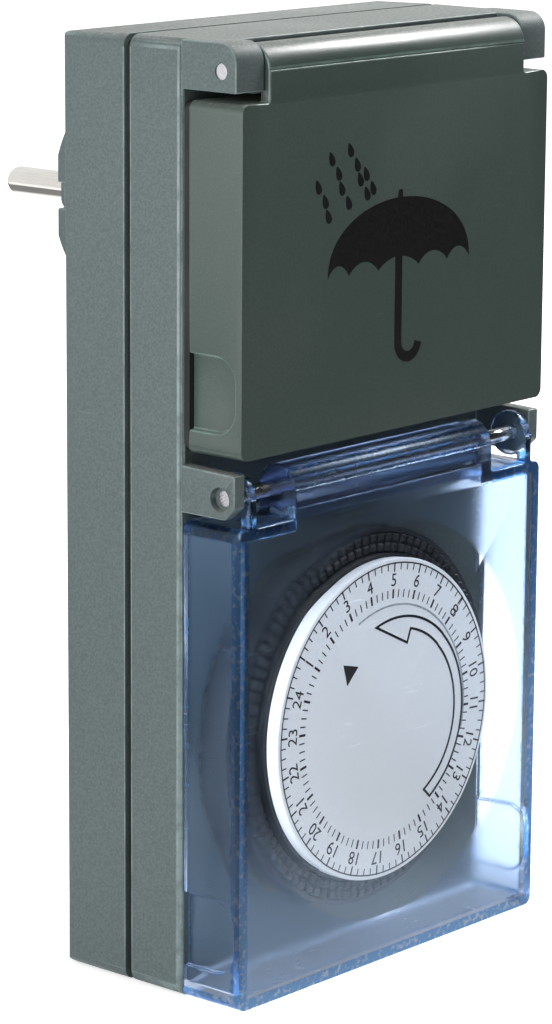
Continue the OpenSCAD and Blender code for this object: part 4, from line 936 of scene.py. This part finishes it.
class PrintLid(Operator):
    """Print the rain sign, an open umbrella under falling drops, on the socket lid"""
    bl_idname = "timer_switch.lid_print"
    bl_label = "Rain sign"
    scallop = 1.8 * MM                        # height of the scallops
    scallop_ends = (1.0, 0.68, 0.27, -0.30, -0.71, -1.0)
    dome_power, scallop_power = 0.92, 0.75    # below 1, so that a curve is fuller than a sine
    knob = ((-0.6, 0), (-0.45, 1.2), (0.45, 1.2), (0.6, 0))
    hook_drop = 11.9 * MM                     # how far the hook's middle lies under the rim
    shaft_offset = 0.015                      # to the left, as a share of the half canopy
    # Files of drops: x and z of the first drop in millimetres, and the count
    files = ((-19.7, 14.4, 3), (-16.6, 18.4, 4), (-12.2, 19.4, 4), (-8.4, 15.4, 2))
    drop_step, drop_jog = (1.2, -2.35), 0.45
    drop_lean, drop_half = (0.35, -0.94), 0.27

    def execute(self, context):
        settings = context.scene.timer_lid_print
        ink = printed_ink("lid_ink", settings.ink_colour)
        depths = (LID_LOW.y - INK, LID_LOW.y + SUNK)
        middle = (LID_LOW.x + LID_HIGH.x) / 2
        rim = LID_LOW.z + settings.rim_height
        umbrella = bmesh.new()
        add_plate(umbrella, self.canopy(settings, middle, rim), *depths)
        shaft = bmesh.new()
        add_band(shaft, self.shaft(settings, middle, rim), settings.shaft_width, *depths)
        rain = bmesh.new()
        for x, z in self.drop_places(middle, rim):
            add_plate(rain, self.drop(settings, x, z), *depths)
        for name, shape in (("umbrella_canopy", umbrella), ("umbrella_shaft", shaft), ("rain_drops", rain)):
            new_piece(name, mesh_of(shape, name), "lid", "lid_dark_green", ink)
        return {"FINISHED"}

    def canopy(self, settings, middle, rim):
        """The canopy: a low dome with a knob, and five scallops along its rim."""
        half, rise = settings.canopy_half, settings.canopy_rise
        dome = []
        for i in range(41):
            turn = math.radians(180 - 180 * i / 40)
            height = rise * math.sin(turn) ** self.dome_power
            dome.append(Vector((middle + half * math.cos(turn), rim + height)))
        knob = [Vector((middle + x * MM, rim + rise + z * MM)) for x, z in self.knob]
        outline = dome[:20] + knob + dome[21:]
        points = [middle + half * across for across in self.scallop_ends]
        for start, end in zip(points, points[1:]):
            for i in range(1, 12):
                lift = self.scallop * math.sin(math.pi * i / 12) ** self.scallop_power
                outline.append(Vector((start + (end - start) * i / 12, rim + lift)))
            if end != points[-1]:
                outline.append(Vector((end, rim)))
        return outline

    def shaft(self, settings, middle, rim):
        """The shaft, from under the middle scallop, with a hooked handle."""
        foot = rim - self.hook_drop
        x = middle - self.shaft_offset * settings.canopy_half
        hook = arc((x + settings.hook_r, foot), settings.hook_r, 270, 98, 14)
        return [Vector((x, rim + self.scallop)), Vector((x, foot + 1 * MM))] + hook

    def drop_places(self, middle, rim):
        """Four slanting files of falling drops over the left half of the canopy."""
        right, up = self.drop_step
        for x, z, count in self.files:
            for i in range(count):
                yield middle + (x + right * i + self.drop_jog * (i % 2)) * MM, rim + (z + up * i) * MM

    def drop(self, settings, x, z):
        """One drop, slanting down to the right."""
        points = []
        lean = Vector(self.drop_lean)
        across = Vector((-lean.y, lean.x))
        for i in range(14):
            turn = math.tau * i / 14
            along = -math.cos(turn) * 0.5
            wide = self.drop_half * math.sin(turn) * (1 + 0.9 * along)
            points.append(Vector((x, z)) + (lean * along + across * wide) * settings.drop_length)
        return points


class BuildCover(Operator):
    """Finish the clear cover over the timer and the rod that it turns on"""
    bl_idname = "timer_switch.cover"
    bl_label = "Timer cover"

    def execute(self, context):
        softened("timer_cover", "timer_cover_shell", context.scene.timer_cover.edge)
        softened("cover_pin", "cover_pin_rod", PIN_EDGE)
        return {"FINISHED"}


class BuildDial(Operator):
    """Finish the dial, its drum and the parts that it turns on"""
    bl_idname = "timer_switch.dial"
    bl_label = "Dial"

    def execute(self, context):
        softened("dial_face", "dial_disc", PIN_EDGE)
        dress("dial_drum", "drum_gear", "dial_spindle", "dial_retainer")
        return {"FINISHED"}


class PrintDial(Operator):
    """Print the hours, the quarter hours and the arrow of rotation on the dial"""
    bl_idname = "timer_switch.dial_print"
    bl_label = "Dial print"
    depths = (DIAL_CENTRE.y - INK, DIAL_CENTRE.y + SUNK)
    top_hour = 5    # at the top before the print is turned
    # A tick's width and height, and how many times wider and longer every fourth one is
    outer_tick = (0.2 * MM, 1.0 * MM, 1.4, 1.6)
    inner_tick = (0.2 * MM, 1.3 * MM, 2.0, 1.15)
    # Arcs: centre from the dial's middle and radius in millimetres, first and last angle in degrees, steps
    fine_arc = ((0.8, -0.5), 19.1, -24, 104, 48)
    outer_arc = ((2.4, -0.75), 17.1, -17, 148, 44)
    inner_arc = ((2.4, -0.75), 15.1, 150, 14, 36)
    arrow_width, fine_width = 0.42 * MM, 0.32 * MM
    barb = (5.2, 11.7)
    marker = ((-10.6, 10.9), (-6.9, 10.0), (-9.6, 7.3))

    def execute(self, context):
        settings = context.scene.timer_dial
        ink = printed_ink("dial_ink", settings.ink_colour)
        self.ticks("outer_ticks", settings, ink, settings.outer_tick_r, *self.outer_tick)
        self.ticks("inner_ticks", settings, ink, settings.inner_tick_r, *self.inner_tick)
        self.hours(settings, ink)
        self.lines(settings, ink)
        return {"FINISHED"}

    def ticks(self, name, settings, ink, radius, wide, tall, hour_width, hour_length):
        """A ring of ticks, with every fourth one heavier."""
        tick = bmesh.new()
        add_rectangle(tick, wide, tall, -INK, SUNK)
        quarter = math.tau / settings.ticks
        mesh = spoked(name, mesh_of(tick, name + "_tick"), ink, {
            "Count": settings.ticks, "Places": settings.ticks, "Offset": settings.turn / quarter,
            "Radius": radius, "Centre": tuple(DIAL_CENTRE),
            "Hour Width": hour_width, "Hour Length": hour_length})
        new_piece(name, mesh, "dial", "dial_white", ink)

    def hours(self, settings, ink):
        """The numbers 1 to 24 round the dial."""
        front, back = self.depths
        all_hours = bmesh.new()
        for hour in range(1, 25):
            turn = settings.turn + math.tau * (hour - self.top_hour) / 24
            digits = text_mesh(str(hour), settings.number_height, f"hour_{hour}")
            upright = Matrix.Rotation(math.pi / 2, 4, "X")
            place = Matrix.Translation((DIAL_CENTRE.x, front, DIAL_CENTRE.z))
            outwards = Matrix.Rotation(turn, 4, "Y") @ Matrix.Translation((0, 0, settings.number_r))
            digits.transform(place @ outwards @ upright)
            all_hours.from_mesh(digits)
            bpy.data.meshes.remove(digits)
        bmesh.ops.remove_doubles(all_hours, verts=all_hours.verts, dist=WELD)
        faces = bmesh.ops.extrude_face_region(all_hours, geom=all_hours.faces[:])["geom"]
        moved = [v for v in faces if isinstance(v, bmesh.types.BMVert)]
        bmesh.ops.translate(all_hours, verts=moved, vec=(0, back - front, 0))
        new_piece("hour_numbers", mesh_of(all_hours, "hour_numbers"), "dial", "dial_white", ink)

    def place(self, x, z):
        """A point given in millimetres from the dial's middle."""
        return DIAL_CENTRE.x + x * MM, DIAL_CENTRE.z + z * MM

    def sweep(self, middle, radius, *angles):
        return arc(self.place(*middle), radius * MM, *angles)

    def lines(self, settings, ink):
        """The rim line, the open arrow, the small marker and the fine line outside the arrow."""
        marks = bmesh.new()
        rim = arc(self.place(0, 0), settings.ring_r, 0, 360, 120)[:-1]
        add_band(marks, rim, settings.ring_width, *self.depths, closed=True)
        arrow = self.sweep(*self.outer_arc) + self.sweep(*self.inner_arc) + [Vector(self.place(*self.barb))]
        add_band(marks, arrow, self.arrow_width, *self.depths, closed=True)
        add_plate(marks, [self.place(*point) for point in self.marker], *self.depths)
        new_piece("dial_marks", mesh_of(marks, "dial_marks"), "dial", "dial_white", ink)
        fine = bmesh.new()
        add_band(fine, self.sweep(*self.fine_arc), self.fine_width, *self.depths)
        new_piece("dial_fine_line", mesh_of(fine, "dial_fine_line"), "dial", "dial_white",
                  printed_ink("faint_ink", settings.faint_colour))


class BuildSegments(Operator):
    """Fill the drum with switching segments, one for each quarter hour, in four banks"""
    bl_idname = "timer_switch.segments"
    bl_label = "Switching segments"

    def execute(self, context):
        settings = context.scene.timer_segments
        step = math.tau / settings.places
        for node in ("segments_early", "segments_night", "segments_late", "segments_day"):
            low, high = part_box(node)
            middle = (low + high) / 2 - DIAL_CENTRE
            turn = math.atan2(middle.x, middle.z)
            name = node + "_heads"
            mesh = spoked(name, self.segment(settings, high.y - low.y), finish(slot_of(node)), {
                "Count": settings.count, "Places": settings.places,
                "Offset": turn / step - (settings.count - 1) / 2,
                "Radius": self.reach(low, high) - settings.head_length / 2,
                "Centre": (DIAL_CENTRE.x, low.y, DIAL_CENTRE.z), "Hour Width": 1.0, "Hour Length": 1.0})
            stand_in(name, mesh, node)
        return {"FINISHED"}

    def reach(self, low, high):
        """The outer radius of the ring of heads: how far a bank's box reaches from the dial's middle."""
        return max(abs(v) for v in (low.x - DIAL_CENTRE.x, high.x - DIAL_CENTRE.x,
                                    low.z - DIAL_CENTRE.z, high.z - DIAL_CENTRE.z))

    def segment(self, settings, depth):
        """One segment: a head with bevelled edges and a nail groove, and its foot."""
        wide, far = settings.head_width / 2, settings.head_length / 2
        edge, groove, tall = settings.head_edge, settings.groove, settings.head_height
        shape = bmesh.new()
        rows = []
        for x, inset in ((-wide, edge), (-wide + edge, 0), (wide - edge, 0), (wide, edge)):
            side = far - inset
            profile = [(-side, tall), (-side, inset + edge), (-side + edge, inset), (-groove, inset),
                       (0, inset + groove), (groove, inset), (side - edge, inset), (side, inset + edge),
                       (side, tall)]
            rows.append([shape.verts.new((x, y, z)) for z, y in profile])
        for row, onward in zip(rows, rows[1:]):
            for i in range(len(row)):
                j = (i + 1) % len(row)
                shape.faces.new((row[i], row[j], onward[j], onward[i]))
        shape.faces.new(rows[0])
        shape.faces.new(rows[-1])
        add_rectangle(shape, settings.foot_width, settings.foot_length, tall - WELD, depth)
        return mesh_of(shape, "segment")


class BuildMovement(Operator):
    """Finish the movement plates, the gears and the motor"""
    bl_idname = "timer_switch.movement"
    bl_label = "Movement"

    def execute(self, context):
        dress("movement_plate_front", "movement_plate_rear", "plate_pillars", "movement_screws",
              "idler_pinion", "idler_wheel", "idler_axle", "drive_pinion", "output_shaft", "output_wheel",
              "gearbox_housing", "motor_can", "coil_bobbin", "coil_winding", "rotor_magnet", "rotor_shaft")
        return {"FINISHED"}


class BuildSwitch(Operator):
    """Finish the cam follower and the switch that it works"""
    bl_idname = "timer_switch.switch"
    bl_label = "Switch"

    def execute(self, context):
        dress("cam_follower", "follower_axle", "switch_body", "switch_cover", "switch_button",
              "switch_blade", "fixed_contact", "blade_terminal")
        return {"FINISHED"}


class BuildWiring(Operator):
    """Finish the wires inside the case"""
    bl_idname = "timer_switch.wiring"
    bl_label = "Wiring"

    def execute(self, context):
        dress("live_wire_in", "live_wire_out", "motor_lead_live", "motor_lead_neutral")
        return {"FINISHED"}


class SetStudio(Operator):
    """Set the pale floor, the lamps and the world round the object"""
    bl_idname = "timer_switch.studio"
    bl_label = "Studio"
    floor_half = 3.0    # metres
    # Each lamp's place and width in metres, and its power setting
    lamps = {
        "key_lamp": ((-0.68, 0.0, 0.12), 0.6, "key_power"),
        "front_lamp": ((-0.10, -0.85, 0.35), 0.6, "front_power"),
        "top_lamp": ((-0.05, -0.10, 0.75), 0.5, "top_power"),
        "rim_lamp": ((0.55, -0.16, 0.50), 0.28, "rim_power"),
    }
    # Ways along the floor: to the camera's right, and away from the camera
    rightwards = Vector((0.72, -0.69, 0.0))
    backwards = Vector((0.656, 0.755, 0.0))
    # Ranges in metres from the origin, each from where a change begins to where it ends. In what the object
    # mirrors and what its clear cover lets through, the floor is painted dark to its right and left, apart
    # from a
    # white patch at the far right: painted reflections of cards that are not there. Is Glossy Ray covers
    # both, because light that has passed clear plastic counts as glossy too.
    far = (0.2, 0.8)
    right_card = (0.05, 0.13)
    left_card, left_card_end = (-0.06, -0.12), (-0.30, -0.36)
    patch_start, patch_end = (0.04, 0.08), (0.2, 0.3)
    patch_near = (CAD_LOW.y * 0.755 + 0.008, CAD_LOW.y * 0.755 + 0.035)
    beside_object = (0.0, 0.02)
    # How dark the left card of the painted reflections is, how much of it is left beyond its end, and how
    # dark the painted shadow under the object is, where the floor is seen through the cover
    left_card_depth, beyond_left_card, under_object = 0.85, 0.3, 0.8
    # The world is painted dark to the right in the gloss and the clear cover, a painted reflection.
    world_card = (0.1, 0.7)    # how far a way points to the right where the world begins and ends to darken

    def execute(self, context):
        settings = context.scene.timer_studio
        self.floor(settings)
        self.world(context.scene, settings)
        aim = Vector((0, (CAD_LOW.y + CAD_HIGH.y) / 2, (CAD_LOW.z + CAD_HIGH.z) / 2))
        top_of_front = Vector((0, CAD_LOW.y, CAD_HIGH.z))
        for name, (place, size, power_setting) in self.lamps.items():
            self.lamp(name, Vector(place), top_of_front if name == "rim_lamp" else aim, size,
                      getattr(settings, power_setting))
        context.scene.view_settings.view_transform = "Standard"
        return {"FINISHED"}

    def floor(self, settings):
        """A wide floor that shows white to the camera and keeps the shadow."""
        half = self.floor_half
        shape = bmesh.new()
        corners = ((-half, -half), (half, -half), (half, half), (-half, half))
        shape.faces.new([shape.verts.new((x, y, CAD_LOW.z)) for x, y in corners])
        mesh = mesh_of(shape, "floor")
        mesh.materials.append(self.paper(settings))
        new_object("floor", mesh)

    def paper(self, settings):
        """The floor's finish: paper that glows, with painted dark reflections in the object's gloss and
        clear cover, and a painted shadow under the object.
        """
        material, tree, out = new_material("floor_paper")
        fibre = tree.spread(tree.noise(700.0), 0.0, 0.25)
        base = tree.mixed(fibre, rgba(settings.floor_colour), shade(settings.floor_colour, 0.94))
        path = tree.add("ShaderNodeLightPath").outputs
        glossy, through = path["Is Glossy Ray"], path["Is Transmission Ray"]
        seen = tree.largest(path["Is Camera Ray"], glossy)
        distance = tree.vector_math("LENGTH", tree.object_place())
        level = tree.plus(tree.spread(distance, settings.floor_glow, settings.far_glow, *self.far),
                          tree.times(through, settings.pane_glow))
        paper = tree.shader("BsdfPrincipled", {
            "Base Color": base, "Roughness": 0.9, "Specular IOR Level": 0.1})
        glow = tree.shader("Emission", {"Color": WHITE, "Strength": tree.times(seen, level)})
        both = tree.shader("AddShader", {0: paper, 1: glow})
        painted_dark_reflection = tree.times(glossy, self.cards(tree, settings))
        # Painted shadow: seen through the cover, the floor under the object is dark.
        painted_shadow_under = tree.times(through, tree.minus(self.under_object, self.clear_of_object(tree), clamp=True))
        black = tree.shader("BsdfDiffuse", {"Color": rgba((0, 0, 0))})
        shown = tree.mixed_shaders(tree.largest(painted_dark_reflection, painted_shadow_under), both, black)
        tree.feed(out["Surface"], shown)
        return material

    def clear_of_object(self, tree):
        """A mask on the floor beside and before the object."""
        place = tree.add("ShaderNodeSeparateXYZ", {"Vector": tree.object_place()}).outputs
        beside = tree.minus(tree.math("ABSOLUTE", place["X"]), CAD_HIGH.x)
        before = tree.minus(CAD_LOW.y, place["Y"])
        return tree.mask(tree.largest(beside, before), *self.beside_object)

    def cards(self, tree, settings):
        """A mask on the painted dark reflections: cards that show only in the gloss and the clear cover, on
        the floor to the right and the left of the object.
        """
        place, card = tree.object_place(), settings.card
        right = tree.vector_math("DOT_PRODUCT", place, self.rightwards)
        back = tree.vector_math("DOT_PRODUCT", place, self.backwards)
        patch = tree.times(tree.mask(back, *self.patch_near), tree.spread(right, 1.0, 0.0, *self.patch_end))
        patch = tree.times(patch, tree.mask(right, *self.patch_start))
        right_card = tree.times(tree.spread(right, 0.0, 1.0 - card, *self.right_card),
                                tree.minus(1.0, patch))
        left_card = tree.times(tree.spread(right, 0.0, self.left_card_depth - card, *self.left_card),
                               tree.spread(right, 1.0, self.beyond_left_card, *self.left_card_end))
        return tree.largest(right_card, left_card)

    def world(self, scene, settings):
        """White to the camera, painted dark on the right in the gloss and the clear cover, and dim
        otherwise.
        """
        world = bpy.data.worlds.new("studio")
        scene.world = world
        world.use_nodes = True
        world.node_tree.nodes.clear()
        tree = Tree(world.node_tree)
        path = tree.add("ShaderNodeLightPath").outputs
        glossy = path["Is Glossy Ray"]
        seen = tree.largest(path["Is Camera Ray"], glossy)
        way = tree.add("ShaderNodeTexCoord").outputs["Generated"]
        right = tree.vector_math("DOT_PRODUCT", way, self.rightwards)
        card = tree.spread(right, 1.0, settings.card, *self.world_card)
        strength = tree.plus(tree.minus(1.0, glossy), tree.times(glossy, card))
        light = tree.shader("Background", {"Color": WHITE, "Strength": settings.ambient})
        backdrop = tree.shader("Background", {"Color": WHITE, "Strength": strength})
        out = tree.add("ShaderNodeOutputWorld").inputs
        tree.feed(out["Surface"], tree.mixed_shaders(seen, light, backdrop))

    def lamp(self, name, place, aim, size, power):
        """A square soft lamp that faces its aim."""
        lamp = bpy.data.lights.new(name, "AREA")
        lamp.shape = "SQUARE"
        lamp.size = size
        lamp.energy = power
        holder = new_object(name, lamp)
        holder.location = place
        holder.rotation_euler = (aim - place).to_track_quat("-Z", "Y").to_euler()


class SetCamera(Operator):
    """Set the camera at the viewing angle"""
    bl_idname = "timer_switch.camera"
    bl_label = "Camera"

    def execute(self, context):
        settings = context.scene.timer_studio
        turn, lift = settings.azimuth, settings.elevation
        back = Vector((math.sin(turn) * math.cos(lift), -math.cos(turn) * math.cos(lift), math.sin(lift)))
        level = (-back).cross(Vector((0, 0, 1))).normalized()
        rise = level.cross(-back)
        right = math.cos(settings.roll) * level + math.sin(settings.roll) * rise
        up = math.cos(settings.roll) * rise - math.sin(settings.roll) * level
        aim = Vector((0, CAD_LOW.y, CAD_LOW.z + settings.aim_height))
        place = aim + back * settings.distance - right * settings.aim_right - up * settings.aim_up
        camera = bpy.data.cameras.new("camera")
        camera.lens = settings.focal
        holder = new_object("camera", camera)
        axes = Matrix((right, up, back)).transposed().to_4x4()
        holder.matrix_world = Matrix.Translation(place) @ axes
        context.scene.camera = holder
        return {"FINISHED"}


class TimerSwitchPanel(Panel):
    """Lists the operators that finish the timer switch, with their sizes and colours"""
    bl_idname = "VIEW3D_PT_timer_switch"
    bl_label = "Timer Switch"
    bl_space_type = "VIEW_3D"
    bl_region_type = "UI"
    bl_category = "Timer Switch"

    def draw(self, context):
        for operator in OPERATORS:
            self.layout.operator(operator.bl_idname)
        for name, settings in SETTINGS.items():
            box = self.layout.box()
            box.label(text=settings.__name__.replace("Settings", ""))
            for title in settings.__annotations__:
                box.prop(getattr(context.scene, name), title)


SETTINGS = {
    "timer_housing": HousingSettings,
    "timer_cover": CoverSettings,
    "timer_dial": DialSettings,
    "timer_lid_print": LidPrintSettings,
    "timer_segments": SegmentSettings,
    "timer_studio": StudioSettings,
}
OPERATORS = (BuildCase, BuildPlug, BuildSocket, BuildLid, PrintLid, BuildCover, BuildDial, PrintDial,
             BuildSegments, BuildMovement, BuildSwitch, BuildWiring, SetStudio, SetCamera)


def register():
    for cls in (*SETTINGS.values(), *OPERATORS, TimerSwitchPanel):
        bpy.utils.register_class(cls)
    for name, settings in SETTINGS.items():
        setattr(bpy.types.Scene, name, PointerProperty(type=settings))


def unregister():
    for name in SETTINGS:
        delattr(bpy.types.Scene, name)
    for cls in reversed((*SETTINGS.values(), *OPERATORS, TimerSwitchPanel)):
        bpy.utils.unregister_class(cls)


def main():
    register()
    for operator in OPERATORS:
        group, name = operator.bl_idname.split(".")
        getattr(getattr(bpy.ops, group), name)()


if __name__ == "__main__":
    main()
